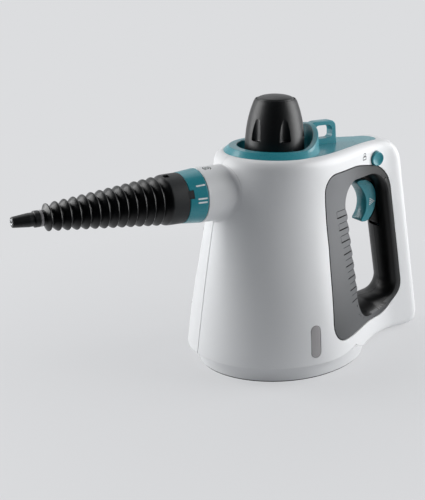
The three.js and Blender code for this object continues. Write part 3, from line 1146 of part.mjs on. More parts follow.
// Pilot light, cord inlet and screws
const lensBack = housingLoft(LENS_THICKNESS, LENS_THICKNESS, HOLLOW_STEPS);
const indicatorLens = cut(plateY(stadium(LENS_WIDTH - 2 * FIT, LENS_HEIGHT - 2 * FIT), -FAR, -BOILER_RADIUS)
  .intersect(outer), lensBack);
const indicatorLamp = turnedY(rod(LAMP_RADIUS, lampFace, lampFace + LAMP_LENGTH), SMALL, LENS_X, LENS_Z);
const inletStart = inletEndX - INLET_LENGTH;
const inletSeatX = inletEndX - INLET_FLANGE + FIT;
const cordInlet = turnedX([
  [INLET_BORE, inletStart], [INLET_RADIUS, inletStart], [INLET_RADIUS, inletSeatX],
  [INLET_FLANGE_RADIUS, inletSeatX], [INLET_FLANGE_RADIUS, inletEndX], [INLET_BORE, inletEndX],
  [INLET_BORE, inletStart],
], MEDIUM, INLET_Z);
const screws = screwPlaces.map(([x, z]) => {
  const seat = screwSeatY([x, z]) - SCREW_HEAD + FIT;
  return turnedY([
    [0, -SCREW_LENGTH + FIT], [SCREW_RADIUS, -SCREW_LENGTH + FIT], [SCREW_RADIUS, seat],
    [SCREW_HEAD_RADIUS, seat], [SCREW_HEAD_RADIUS, seat + SCREW_HEAD], [0, seat + SCREW_HEAD],
  ], SMALL, x, z);
});

// Finishes
const finish = (color, roughness, metalness = 0) => ({ color, roughness, metalness });
const WHITE = finish(0xeceeef, 0.32);
const TEAL = finish(0x2b8a97, 0.34);
const BLACK = finish(0x17191b, 0.42);
const CHARCOAL = finish(0x5b5d60, 0.5);
const GREY = finish(0x8d8b8c, 0.35);
const ALUMINIUM = finish(0xb4b7ba, 0.45, 1);
const STEEL = finish(0xc4c6c8, 0.3, 1);
const BRASS = finish(0xc2a25a, 0.35, 1);
const RUBBER = finish(0x6f7173, 0.8);
const RED_RUBBER = finish(0xa04a3a, 0.8);

const cleaner = new THREE.Group();
function add(name, shape, look) {
  const geometry = shape.isBufferGeometry ? shape : toGeometry(shape);
  geometry.computeVertexNormals();
  const mesh = new THREE.Mesh(geometry, new THREE.MeshStandardMaterial(look));
  mesh.name = name;
  cleaner.add(mesh);
}

add('left_housing', leftHousing, WHITE);
add('right_housing', rightHousing, WHITE);
add('left_grip', gripWhole.intersect(nearHalf), CHARCOAL);
add('right_grip', gripWhole.intersect(farHalf), CHARCOAL);
add('base_skirt', skirt, WHITE);
add('base_plate', basePlate, BLACK);
add('top_cover', topCover(), TEAL);
add('cap_knob', capKnob(), BLACK);
add('cap_disc', capDisc, BLACK);
add('cap_stem', capStem, BRASS);
add('cap_gasket', capGasket, RED_RUBBER);
add('relief_plunger', reliefPlunger, BRASS);
add('relief_spring', reliefSpring, STEEL);
add('boiler_lower', boilerLower, ALUMINIUM);
add('boiler_upper', boilerUpper, ALUMINIUM);
add('filler_neck', fillerNeck, BRASS);
add('heating_element', heatingElement, STEEL);
add('thermostat', thermostat, STEEL);
add('thermal_fuse', thermalFuse, STEEL);
add('steam_valve', steamValve, BRASS);
add('push_rod', pushRod, BLACK);
add('return_spring', returnSpring, STEEL);
add('steam_tube', steamTube, RUBBER);
add('outlet_socket', outletSocket, BRASS);
add('nozzle_seal', nozzleSeal, RED_RUBBER);
add('lock_ring', lockRing, TEAL);
add('nozzle_shroud', nozzleShroud(), BLACK);
add('nozzle_pipe', nozzlePipe, STEEL);
add('tip_ring', tipRing, GREY);
add('nozzle_tip', nozzleTip, BLACK);
add('tip_insert', tipInsert, STEEL);
add('trigger_pad', triggerPad, TEAL);
add('trigger_lever', triggerLever, BLACK);
add('trigger_pin', triggerPin, STEEL);
add('lock_button', lockButton, TEAL);
add('indicator_lens', indicatorLens, GREY);
add('indicator_lamp', indicatorLamp, GREY);
add('cord_inlet', cordInlet, BLACK);
screws.forEach((screw, i) => add(`housing_screw_${i + 1}`, screw, STEEL));
baseScrews.forEach((screw, i) => add(`base_screw_${i + 1}`, screw, STEEL));

export default cleaner;
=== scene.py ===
# A handheld steam cleaner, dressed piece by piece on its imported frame. The sections follow the
# cleaner as it is put together. Sizes are written in millimetres and placed through MM.
import cmath
import math
import bpy
from mathutils import Matrix, Vector


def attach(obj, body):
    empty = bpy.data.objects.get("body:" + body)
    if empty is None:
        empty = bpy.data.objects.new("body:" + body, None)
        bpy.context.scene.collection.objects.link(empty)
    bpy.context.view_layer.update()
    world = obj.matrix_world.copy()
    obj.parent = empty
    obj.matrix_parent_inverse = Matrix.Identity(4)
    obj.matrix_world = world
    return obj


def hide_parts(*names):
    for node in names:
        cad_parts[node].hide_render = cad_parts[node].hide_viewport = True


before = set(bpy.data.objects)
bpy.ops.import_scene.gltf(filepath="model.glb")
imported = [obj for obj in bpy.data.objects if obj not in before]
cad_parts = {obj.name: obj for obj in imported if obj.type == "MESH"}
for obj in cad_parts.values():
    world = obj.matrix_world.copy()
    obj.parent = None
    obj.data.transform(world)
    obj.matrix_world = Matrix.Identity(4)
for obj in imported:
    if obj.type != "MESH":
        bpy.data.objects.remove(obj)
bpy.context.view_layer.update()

# Camera. It looks at the nozzle's side of the cleaner from a little above, with a short
# telephoto lens, as the product photograph does.
MM = 0.001
turn, rise = math.radians(-30.42), math.radians(17.88)
to_camera = Vector((math.sin(turn) * math.cos(rise), -math.cos(turn) * math.cos(rise), math.sin(rise)))
camera = bpy.data.objects.new("camera", bpy.data.cameras.new("camera"))
camera.data.sensor_fit = "VERTICAL"
camera.data.sensor_height = 36
camera.data.lens = 70.93
camera.location = (Vector((-60.43, 0, 106.99)) + to_camera * 823.85) * MM
camera.rotation_euler = to_camera.to_track_quat("Z", "Y").to_euler()
bpy.context.scene.collection.objects.link(camera)
bpy.context.scene.camera = camera
bpy.context.scene.view_settings.view_transform = "Standard"


# Studio. A pale floor and background, two tall soft boxes beside the cleaner and a weak one
# over it. The room behind the camera is dark, so black plastic that faces it stays black.
def linear(code):
    """An sRGB hex value as linear colour."""
    parts = [int(code[i:i + 2], 16) / 255 for i in (1, 3, 5)]
    return [c / 12.92 if c <= 0.04045 else ((c + 0.055) / 1.055) ** 2.4 for c in parts] + [1]


def add_node(tree, kind, inputs=None, **settings):
    """Adds a shader node with its settings, and fills or links its inputs by name or number."""
    made = tree.nodes.new("ShaderNode" + kind)
    for name, value in settings.items():
        setattr(made, name, value)
    for socket, value in (inputs or {}).items():
        if isinstance(value, bpy.types.NodeSocket):
            tree.links.new(value, made.inputs[socket])
        else:
            made.inputs[socket].default_value = value
    return made


PAPER = linear("#dcdddf")
ROOM = linear("#08090a")
to_camera_flat = Vector((to_camera.x, to_camera.y, 0)).normalized()


def surroundings(tree, aim, start, end):
    """The paper's colour, but the dark room's in reflections of what lies towards the camera, and
    1 for the rays that see the paper as it is written."""
    rays = add_node(tree, "LightPath").outputs
    front = add_node(tree, "MapRange",
                     {"Value": aim.outputs["Value"], "From Min": start, "From Max": end})
    front = add_node(tree, "Math", {0: front.outputs[0], 1: rays["Is Glossy Ray"]},
                     operation="MULTIPLY")
    glow = add_node(tree, "Mix", {0: front.outputs[0], 6: PAPER, 7: ROOM}, data_type="RGBA")
    seen = rays["Is Camera Ray"]
    for ray in ("Is Glossy Ray", "Is Transmission Ray"):
        seen = add_node(tree, "Math", {0: seen, 1: rays[ray]}, operation="MAXIMUM").outputs[0]
    return glow.outputs[2], seen


world = bpy.data.worlds.new("studio_room")
bpy.context.scene.world = world
world.use_nodes = True
tree = world.node_tree
way = add_node(tree, "TexCoord").outputs["Generated"]
aim = add_node(tree, "VectorMath", {0: way, 1: to_camera}, operation="DOT_PRODUCT")
glow, seen = surroundings(tree, aim, -0.35, 0.25)
shown = add_node(tree, "Mix", {0: seen, 6: linear("#67696c"), 7: glow}, data_type="RGBA")
tree.links.new(shown.outputs[2], tree.nodes["Background"].inputs["Color"])

bpy.ops.object.select_all(action="DESELECT")
bpy.ops.mesh.primitive_circle_add(vertices=64, radius=9, fill_type="NGON")
floor = bpy.context.object
floor.name = "floor"
paper = bpy.data.materials.new("pale_paper")
paper.use_nodes = True
tree = paper.node_tree
place = add_node(tree, "TexCoord").outputs["Object"]
aim = add_node(tree, "VectorMath", {0: place, 1: to_camera_flat}, operation="DOT_PRODUCT")
glow, seen = surroundings(tree, aim, 0.08, 0.3)
glow = add_node(tree, "Emission", {"Color": glow})
# The paper glows evenly, and a little less round the cleaner, where its shadow falls.
away = add_node(tree, "VectorMath", {0: place}, operation="LENGTH")
open_floor = add_node(tree, "MapRange",
                      {"Value": away.outputs["Value"], "From Min": 0.1, "From Max": 0.4, "To Min": 0.7})
share = add_node(tree, "Math", {0: seen, 1: open_floor.outputs[0]}, operation="MULTIPLY")
matt = add_node(tree, "BsdfDiffuse", {"Color": linear("#d4d5d7")})
mixed = add_node(tree, "MixShader", {0: share.outputs[0], 1: matt.outputs[0], 2: glow.outputs[0]})
tree.links.new(mixed.outputs[0], tree.nodes["Material Output"].inputs["Surface"])
floor.data.materials.append(paper)


def soft_box(name, direction, distance, width, height, watts):
    """A large area light that looks at the cleaner's middle."""
    lamp = bpy.data.objects.new(name, bpy.data.lights.new(name, "AREA"))
    lamp.data.shape = "RECTANGLE"
    lamp.data.size, lamp.data.size_y, lamp.data.energy = width, height, watts
    direction = Vector(direction).normalized()
    lamp.location = Vector((-30, 0, 110)) * MM + direction * distance
    lamp.rotation_euler = direction.to_track_quat("Z", "Y").to_euler()
    bpy.context.scene.collection.objects.link(lamp)


to_right = Vector((math.cos(turn), math.sin(turn), 0))
above = Vector((0, 0, 0.28))
soft_box("left_box", -to_right * 0.98 - to_camera_flat * 0.15 + above, 1.0, 0.75, 1.1, 11.5)
soft_box("right_box", to_right * 0.98 - to_camera_flat * 0.07 + above, 1.0, 0.75, 1.1, 12)
soft_box("top_box", (0.05, 0.6, 1), 1.1, 0.8, 0.8, 1.4)


# Shell. Two mirrored ABS mouldings, screwed together on the middle plane, make the body and
# the handle. One skin is drawn through the teardrop sections, hollowed, joined with the neck,
# cut for the grip, the cover and the small openings, and then halved.
def surfaced(name, colour, shades, flow, marks, gloss, bump, sockets):
    """A material whose colour drifts between two shades, with fine marks in its gloss and relief."""
    material = bpy.data.materials.new(name)
    material.use_nodes = True
    tree = material.node_tree
    shader = tree.nodes["Principled BSDF"]
    place = add_node(tree, "TexCoord").outputs["Object"]
    drift = add_node(tree, "TexNoise", {"Vector": place, **flow}).outputs["Fac"]
    fine = add_node(tree, "TexNoise", {"Vector": place, **marks}).outputs["Fac"]
    tones = [[min(c * shade, 1) for c in linear(colour)[:3]] + [1] for shade in shades]
    tone = add_node(tree, "Mix", {0: drift, 6: tones[0], 7: tones[1]}, data_type="RGBA")
    gloss = add_node(tree, "MapRange", {"Value": fine, **gloss})
    bump = add_node(tree, "Bump", {"Height": fine, **bump})
    tree.links.new(tone.outputs[2], shader.inputs["Base Color"])
    tree.links.new(gloss.outputs[0], shader.inputs["Roughness"])
    tree.links.new(bump.outputs[0], shader.inputs["Normal"])
    for socket, value in sockets.items():
        shader.inputs[socket].default_value = value
    return material


def moulded(name, colour, roughness, grain, relief, drift=0.06, ior=1.5, coat=0):
    """Injection-moulded plastic: grain and relief are in millimetres."""
    return surfaced(name, colour, (1 - drift, 1 + drift), {"Scale": 1 / (45 * MM), "Detail": 3},
                    {"Scale": 1 / (grain * MM), "Detail": 2, "Roughness": 0.6},
                    {"From Min": 0.3, "From Max": 0.7, "To Min": roughness - 0.05, "To Max": roughness + 0.05},
                    {"Strength": 0.6, "Distance": relief * MM}, {"IOR": ior, "Coat Weight": coat})


# ABS, moulded white with a satin grain: bright and even, with a soft sheen on its curves. The
# colour of every moulding drifts a little over a hand's width, as the melt flows. The grain
# that the spark-eroded mould leaves is drawn coarser than life, so that it shows.
WHITE_ABS = moulded("white_abs_satin", "#e8e9ea", 0.36, 0.9, 0.012, drift=0.01)


def mix(a, b, share):
    return a + (b - a) * share


def fade(share):
    return (1 + math.cos(math.pi * min(share, 1))) / 2


def drawn_in(distance, radius):
    """How far a rounded edge of this radius has drawn in, at a distance from its plane."""
    left = radius - min(max(distance, 0), radius)
    return radius - math.sqrt(radius * radius - left * left)


TOP_Z, EDGE_Z, SKIN_FOOT_Z = 186, 16.6, 2.5
SHOULDER_RADIUS, FOOT_RADIUS, BACK_TOP_RADIUS, BACK_FOOT_RADIUS = 8, 5, 20, 14
FOOT_CENTRE_X, FOOT_FRONT, TOP_FRONT, FRONT_BOW = 6, 75.4, 50, 1.5
FOOT_HALF_WIDTH, TOP_HALF_WIDTH, HANDLE_HALF_WIDTH = 71.5, 49.5, 16
FOOT_TAPER_END, TOP_TAPER_END, BACK_FOOT_X, BACK_TOP_X = 130, 114, 164.5, 126.7


def section(z, inset=0):
    """The shell's plan section at a height: centre, front, half width, handle, taper end, back."""
    def edge(top_radius, foot_radius):
        return (drawn_in(TOP_Z - inset - z, max(top_radius - inset, 0))
                + drawn_in(z - SKIN_FOOT_Z - inset, max(foot_radius - inset, 0)))

    share = min(max((z - EDGE_Z) / (TOP_Z - EDGE_Z), 0), 1)
    draw = inset + edge(SHOULDER_RADIUS, FOOT_RADIUS)
    return (mix(FOOT_CENTRE_X, 0, share),
            mix(FOOT_FRONT, TOP_FRONT, share) + FRONT_BOW * math.sin(math.pi * share) - draw,
            mix(TOP_HALF_WIDTH, FOOT_HALF_WIDTH, fade(share / 0.85)) - draw, HANDLE_HALF_WIDTH - draw,
            mix(FOOT_TAPER_END, TOP_TAPER_END, share),
            mix(BACK_FOOT_X, BACK_TOP_X, z / TOP_Z) - inset - edge(BACK_TOP_RADIUS, BACK_FOOT_RADIUS))


def half_width(x, level):
    """Half the shell's width at x, in the plan section that level gives."""
    centre, front, half, tail, tail_start, _ = level
    if x < centre:
        return half * math.sqrt(max(0, 1 - ((centre - x) / (centre + front)) ** 2))
    return mix(tail, half, fade((x - centre) / (tail_start - centre)))


def plan(level, margin, end, back, power, steps):
    """The section's outline: rounded back, taper and oval front, both sides."""
    centre, front, half = level[:3]
    side = []
    for i in range(steps[0]):
        angle = math.pi / 2 * i / steps[0]
        side.append((end + (back - end) * math.cos(angle) ** (2 / power),
                     (half_width(end, level) - margin) * math.sin(angle) ** (2 / power)))
    for i in range(steps[1]):
        x = mix(end, centre, i / steps[1])
        side.append((x, half_width(x, level) - margin))
    for i in range(steps[2] + 1):
        angle = math.pi / 2 * i / steps[2]
        side.append((centre - (centre + front - margin) * math.sin(angle), (half - margin) * math.cos(angle)))
    return side + [(x, -y) for x, y in side[-2:0:-1]]


def wrapped(name, rings, closed=False):
    """A grid wrapped round: each row takes the points of one ring, in mm. Both ends are filled."""
    columns, rows = len(rings[0]), len(rings) if closed else len(rings) - 1
    bpy.ops.object.select_all(action="DESELECT")
    bpy.ops.mesh.primitive_grid_add(x_subdivisions=columns, y_subdivisions=rows, size=1)
    piece = bpy.context.object
    piece.name = piece.data.name = name
    for vertex in piece.data.vertices:
        column, row = round((vertex.co.x + 0.5) * columns), round((vertex.co.y + 0.5) * rows)
        vertex.co = Vector(rings[row % len(rings)][column % columns]) * MM
    bpy.ops.object.mode_set(mode="EDIT")
    bpy.ops.mesh.select_all(action="SELECT")
    bpy.ops.mesh.remove_doubles(threshold=1e-6)
    if not closed:
        bpy.ops.mesh.fill_holes(sides=0)
    bpy.ops.mesh.select_all(action="SELECT")
    bpy.ops.mesh.normals_make_consistent(inside=False)
    bpy.ops.object.mode_set(mode="OBJECT")
    return piece


def shell_skin(name, inset, top_inset, steps, low_shares, middle, top_shares):
    """The shell's outside, or one inset from it: its rings lie closer at the rounded ends."""
    low, high = SKIN_FOOT_Z + inset, TOP_Z - top_inset
    levels = [low + share * BACK_FOOT_RADIUS for share in low_shares]
    levels += [mix(low + BACK_FOOT_RADIUS, high - BACK_TOP_RADIUS, i / middle) for i in range(middle)]
    levels += [high - share * BACK_TOP_RADIUS for share in top_shares]
    rings = []
    for z in levels:
        level = section(z, inset)
        rings.append([(x, y, z) for x, y in plan(level, 0, level[5] - 12 + inset, level[5], 2.6, steps)])
    return wrapped(name, rings)


def fine_skin(name):
    return shell_skin(name, 0, 0, (12, 40, 44), (0, 0.03, 0.08, 0.15, 0.24, 0.36, 0.5, 0.72), 44,
                      (1, 0.84, 0.7, 0.57, 0.45, 0.35, 0.28, 0.22, 0.165, 0.12, 0.08, 0.045, 0.02, 0.005, 0))


def plain_skin(name, inset):
    return shell_skin(name, inset, inset, (8, 24, 32), (0, 0.15, 0.4), 30, (1, 0.6, 0.3, 0.1, 0))


def coarse_skin(name, inset, top_inset):
    return shell_skin(name, inset, top_inset, (5, 14, 14), (0, 0.3), 12, (1, 0.5, 0.2, 0))


def prism(name, outline, low, high, along="y"):
    """A flat outline drawn out between two planes, across Y or up Z."""
    if along == "z":
        return wrapped(name, [[(x, y, level) for x, y in outline] for level in (low, high)])
    return wrapped(name, [[(x, level, z) for x, z in outline] for level in (low, high)])


def shaped(piece, how, *tools):
    """One exact boolean with all the tools, which are used up."""
    group = bpy.data.collections.new("tools")
    for tool in tools:
        group.objects.link(tool)
    modifier = piece.modifiers.new(how, "BOOLEAN")
    modifier.operation, modifier.solver = how, "EXACT"
    modifier.operand_type, modifier.collection = "COLLECTION", group
    bpy.context.view_layer.objects.active = piece
    bpy.ops.object.modifier_apply(modifier=modifier.name)
    for tool in tools:
        bpy.data.objects.remove(tool)
    bpy.data.collections.remove(group)
    return piece


def turned(name, profile, segments=96, axis="z", centre=(0, 0, 0)):
    """A profile of (radius, place along the axis), drawn by extruding one point and then spun."""
    along = {"x": Vector((1, 0, 0)), "y": Vector((0, 1, 0)), "z": Vector((0, 0, 1))}[axis]
    out = Vector((0, 0, 1)) if axis == "x" else Vector((1, 0, 0))
    points = [(Vector(centre) + out * radius + along * place) * MM for radius, place in profile]
    bpy.ops.object.select_all(action="DESELECT")
    bpy.ops.mesh.primitive_plane_add(size=MM)
    piece = bpy.context.object
    piece.name = piece.data.name = name
    bpy.ops.object.mode_set(mode="EDIT")
    bpy.ops.mesh.merge(type="CENTER")
    bpy.ops.transform.translate(value=points[0])
    for last, point in zip(points, points[1:]):
        bpy.ops.mesh.extrude_vertices_move(TRANSFORM_OT_translate={"value": point - last})
    bpy.ops.mesh.select_all(action="SELECT")
    bpy.ops.mesh.spin(steps=segments, angle=2 * math.pi, center=Vector(centre) * MM, axis=along)
    bpy.ops.mesh.select_all(action="SELECT")
    bpy.ops.mesh.remove_doubles(threshold=1e-6)
    bpy.ops.mesh.normals_make_consistent(inside=False)
    bpy.ops.object.mode_set(mode="OBJECT")
    return piece


def rod(name, radius, low, high, segments, axis="z", centre=(0, 0, 0)):
    """A round bar between two places along its axis."""
    return turned(name, [(0, low), (radius, low), (radius, high), (0, high)], segments, axis, centre)


def eased(corners, steps=6, closed=True):
    """An outline of (a, b, radius) corners, each rounded by an arc of its radius."""
    spots = [complex(corner[0], corner[1]) for corner in corners]
    outline = []
    for i, (here, corner) in enumerate(zip(spots, corners)):
        radius = corner[2] if len(corner) > 2 else 0
        if not radius or (not closed and i in (0, len(spots) - 1)):
            outline.append(here)
            continue
        before, after = spots[i - 1] - here, spots[(i + 1) % len(spots)] - here
        before, after = before / abs(before), after / abs(after)
        half = abs(cmath.phase(after / before)) / 2
        middle = here + (before + after) / abs(before + after) * radius / math.sin(half)
        start, end = (here + side * radius / math.tan(half) - middle for side in (before, after))
        sweep = cmath.phase(end / start)
        outline += [middle + start * cmath.exp(1j * sweep * k / steps) for k in range(steps + 1)]
    return [(spot.real, spot.imag) for spot in outline]


def spread(corners, distance):
    """Corners moved outwards by a distance, their radii grown or shrunk to match."""
    spots = [complex(a, b) for a, b, _ in corners]
    area = sum((a.conjugate() * b).imag for a, b in zip(spots, spots[1:] + spots[:1]))
    moved = []
    for i, here in enumerate(spots):
        before, after = spots[i - 1] - here, spots[(i + 1) % len(spots)] - here
        before, after = before / abs(before), after / abs(after)
        bulges = 1 if (after.conjugate() * before).imag * area > 0 else -1
        half = abs(cmath.phase(after / before)) / 2
        here += -bulges * distance * (before + after) / abs(before + after) / math.sin(half)
        moved.append((here.real, here.imag, max(corners[i][2] + bulges * distance, abs(distance), 0.3)))
    return moved


def block(name, low, high):
    """A box between two corners."""
    (x, y, z), (far_x, far_y, far_z) = low, high
    return prism(name, [(x, z), (far_x, z), (far_x, far_z), (x, far_z)], y, far_y)


def side_of_middle(side, gap=0.15):
    """All that lies on one side of the middle plane, with a little over: the halves stay apart."""
    low, high = sorted((-side * gap, side * THROUGH))
    return block("side_of_middle", (-300, low, -50), (300, high, 300))


# Outlines in side view, as (x, z, radius). THROUGH is far enough to cut through the cleaner.
THROUGH = 200
GRIP_CORNERS = [(19, 169.2, 13), (66, 169.4, 80), (110.9, 161.6, 28), (134.8, 42.5, 16), (113.5, 22, 24),
                (17.8, 31.2, 17), (21.2, 110, 60)]
OPENING_FACE = [(43.8, 158.6, 19), (109.5, 158.5, 26), (133, 41, 16), (112, 27.5, 22), (63.4, 28.5, 36)]
OPENING_WAIST = [(43.8, 155.5, 18), (101, 155.5, 20), (124.6, 37.7, 13), (96, 36.9, 60), (63, 37.7, 20)]
FLARE = (0, 0.2, 0.38, 0.53, 0.66, 0.77, 0.86, 0.93, 0.975, 1)
TEETH, TOOTH_PITCH, TOOTH_REACH, FIRST_TOOTH_Z = 8, 10.75, 1.9, 51.3
TOOTH_SHAPE = ((0, 0), (0.07, 0.5), (0.15, 0.84), (0.25, 1), (0.37, 0.96), (0.52, 0.8), (0.68, 0.54),
               (0.84, 0.26))


def finger_teeth():
    """Teeth up the opening's front edge: each steps out low down and falls back upwards."""
    for tooth in range(TEETH):
        for rise, reach in TOOTH_SHAPE:
            yield FIRST_TOOTH_Z + (tooth + rise) * TOOTH_PITCH, reach * TOOTH_REACH


def opening(name, distance, toothed, steps=16):
    """The hand opening: waisted in the middle and flared out to meet both flanks softly."""
    loops = []
    for corners in (OPENING_FACE, OPENING_WAIST):
        loop = eased(spread(corners, distance) if distance else corners, steps)
        if toothed:
            (low_x, low_z), (high_x, high_z) = loop[-1], loop[0]
            loop += [(mix(low_x, high_x, (z - low_z) / (high_z - low_z)) + reach, z)
                     for z, reach in finger_teeth() if low_z + 0.4 < z < high_z - 0.4]
        loops.append(loop)
    skin = [half_width(x, section(z)) for x, z in loops[0]]
    levels = [(share, 0, 1 - math.sqrt(1 - share * share)) for share in FLARE] + [(1, 3, 1), (1, 150, 1)]
    levels = [(-share, -more, blend) for share, more, blend in levels[:0:-1]] + levels
    return wrapped(name, [[(mix(b[0], a[0], blend), y * share + more, mix(b[1], a[1], blend))
                           for a, b, y in zip(*loops, skin)] for share, more, blend in levels])


# Thicknesses of the walls and the grip's rubber, the play between pieces, and how far the
# recess and its flange stand out round the grip's panel.
WALL, TOP_WALL, GRIP_SKIN, LINING, FIT = 3.6, 7, 1.6, 3, 0.3
RECESS_MARGIN, FLANGE_MARGIN = 1.1, 0.9
shell = fine_skin("near_shell")
drop = [(mix(54, 112, i / 20), -1.5 + (EDGE_Z + 1.5) * (1 - i / 20) ** 2) for i in range(21)]


def under_edge(name, gap=0):
    """All below the shell's lower edge: level over the skirt, then down to the handle's underside."""
    line = [(x, z - gap) for x, z in drop[::-1]]
    return prism(name, [(-300, -10), (112, -10)] + line + [(-300, EDGE_Z - gap)], -THROUGH, THROUGH)


shaped(shell, "DIFFERENCE", coarse_skin("hollow", WALL, TOP_WALL), under_edge("lower_edge"))
NOZZLE_Z, NECK_RADIUS, RING_SEAT_X = 156.3, 22.6, -76.2
NOZZLE_AXIS = (0, 0, NOZZLE_Z)


def neck_foot(share, angle):
    """The neck's rounded foot: it turns from the neck's side into the body's front."""
    side, up = math.cos(angle), math.sin(angle)
    centre, front, half = section(NOZZLE_Z + NECK_RADIUS * up)[:3]
    radius, sweep = mix(4, 1.2, max(0, up) ** 3), math.acos(0.43 * side * side)
    out = NECK_RADIUS + radius * (1 - math.cos(share * sweep))
    x = centre - (centre + front) * math.sqrt(1 - (NECK_RADIUS * side / half) ** 2)
    return (x + radius * (math.sin(share * sweep) - math.tan(sweep / 2)), out * side, NOZZLE_Z + out * up)


neck_side = eased([(NECK_RADIUS, -66), (NECK_RADIUS, RING_SEAT_X, 0.5), (15.7, RING_SEAT_X, 0.3),
                   (15.7, -90.7, 0.8), (8, -90.7)], 3, False)
around = [2 * math.pi * k / 144 for k in range(144)]
rings = [[(x, r * math.cos(a), NOZZLE_Z + r * math.sin(a)) for a in around]
         for r, x in [(19.5, -30)] + neck_side]
rings[1:1] = [[neck_foot(1 - i / 8, a) for a in around] for i in range(9)]
shaped(shell, "UNION", wrapped("neck", rings))
bore = turned("bore", [(0, -26), (19, -26), (19, -73.2), (12.9, -73.2), (12.9, -100), (0, -100)], 64, "x",
              NOZZLE_AXIS)
grip_recess = prism("grip_recess", eased(spread(GRIP_CORNERS, RECESS_MARGIN)), -THROUGH, THROUGH)
shaped(grip_recess, "DIFFERENCE", coarse_skin("seat", GRIP_SKIN + FIT, GRIP_SKIN + FIT))
COVER_MARGIN, COVER_LEDGE, COVER_FOOT_Z = 7.5, 3.4, 183.3


def cover_outline(margin, steps=(10, 40, 44)):
    """The top cover's outline, a margin inside the shell's."""
    return plan(section(180), margin, 97, 112.5 - margin, 2, steps)


pocket = prism("pocket", cover_outline(COVER_MARGIN - FIT), COVER_FOOT_Z - FIT, 190, "z")
pocket_hole = prism("pocket_hole", cover_outline(COVER_MARGIN + COVER_LEDGE, (5, 20, 20)), 175, 190, "z")
INLET_Z = 24
inlet_end = section(INLET_Z)[5] - 1.4
inlet_hole = turned("inlet_hole", [(0, inlet_end - 8), (6.3, inlet_end - 8), (6.3, inlet_end - 1.8),
                                   (8.3, inlet_end - 1.8), (8.3, THROUGH), (0, THROUGH)],
                    48, "x", (0, 0, INLET_Z))
shaped(shell, "DIFFERENCE", bore, grip_recess, opening("lining_seat", LINING + FIT, False), pocket,
       pocket_hole, inlet_hole)


def copy_of(piece, name):
    """A copy of a piece with a mesh of its own."""
    made = piece.copy()
    made.data = piece.data.copy()
    made.name = made.data.name = name
    bpy.context.scene.collection.objects.link(made)
    return made


def stadium(x, z, width, height, steps=10):
    """A slot outline in side view, with round ends."""
    radius, outline = width / 2, []
    for start, middle in ((0, z + height / 2 - radius), (math.pi, z - height / 2 + radius)):
        for k in range(steps + 1):
            angle = start + math.pi * k / steps
            outline.append((x + radius * math.cos(angle), middle + radius * math.sin(angle)))
    return outline


def select_only(*pieces):
    """Selects these pieces and nothing else, with the first one active."""
    bpy.ops.object.select_all(action="DESELECT")
    for piece in pieces:
        piece.select_set(True)
    bpy.context.view_layer.objects.active = pieces[0]


def finished(piece, material, body, slot, *nodes, sharp=32, weighted=True):
    """Gives a piece its material, smooth shading and body, and hides the nodes that it stands for. slot is not
    used.
    """
    if material:
        piece.data.materials.clear()
        piece.data.materials.append(material)
    select_only(piece)
    bpy.ops.object.shade_smooth_by_angle(angle=math.radians(sharp))
    if weighted:
        modifier = piece.modifiers.new("normals", "WEIGHTED_NORMAL")
        modifier.keep_sharp = True
        bpy.ops.object.modifier_apply(modifier=modifier.name)
    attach(piece, body)
    if nodes:
        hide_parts(*nodes)


# Both halves' edges are broken by a small radius, which draws the seam as a soft line.
seams = []
for corners in ([(-200, -50), (-40, -50), (-40, 134), (-200, 134)],
                [(118, -50), (300, -50), (300, 250), (118, 250)]):
    seam = prism("seam", corners, -0.5, 0.5)
    shaped(seam, "DIFFERENCE", plain_skin("seam_core", 0.45))
    seams.append(seam)
shaped(shell, "DIFFERENCE", *seams)
far_shell = copy_of(shell, "far_shell")
LENS_PLACE, LENS_WIDTH, LENS_HEIGHT = (-1.9, 36.8), 9.7, 28.2
LOCK_PLACE = (94.5, 0, 171.3)
lens_hole = prism("lens_hole", stadium(*LENS_PLACE, LENS_WIDTH, LENS_HEIGHT), -THROUGH, -40)
lock_hole = rod("lock_hole", 6.9, -60, -8, 48, "y", LOCK_PLACE)
shaped(shell, "DIFFERENCE", side_of_middle(1), lens_hole, lock_hole)
HOUSING_SCREWS = [(-55, 46), (-49, 116), (142, 20), (118.5, 167)]
SCREW_HOLE, HEAD_HOLE, HEAD_DEPTH = 1.8, 3.2, 1.6
wells = []
for x, z in HOUSING_SCREWS:
    seat = half_width(x, section(z)) - HEAD_DEPTH - 2.4
    wells.append(turned("well", [(0, -5), (SCREW_HOLE, -5), (SCREW_HOLE, seat), (HEAD_HOLE, seat),
                                 (HEAD_HOLE, THROUGH), (0, THROUGH)], 32, "y", (x, 0, z)))
shaped(far_shell, "DIFFERENCE", side_of_middle(-1), *wells)
finished(shell, WHITE_ABS, "body", "white_shell", "left_housing")
finished(far_shell, WHITE_ABS, "body", "white_shell", "right_housing")

# Grip. Each flank has a moulded rubber insert: a panel let into the shell that goes on
# through the hand opening as its lining, with eight finger teeth up its front edge. A thin
# flange round the panel lies low in the recess, as the dark line that frames it.

# Thermoplastic rubber of the grip: charcoal, matt and finely grained on its face.
GRIP_TPE = moulded("charcoal_tpe_grained", "#6a6c6f", 0.5, 0.7, 0.05, drift=0.03)
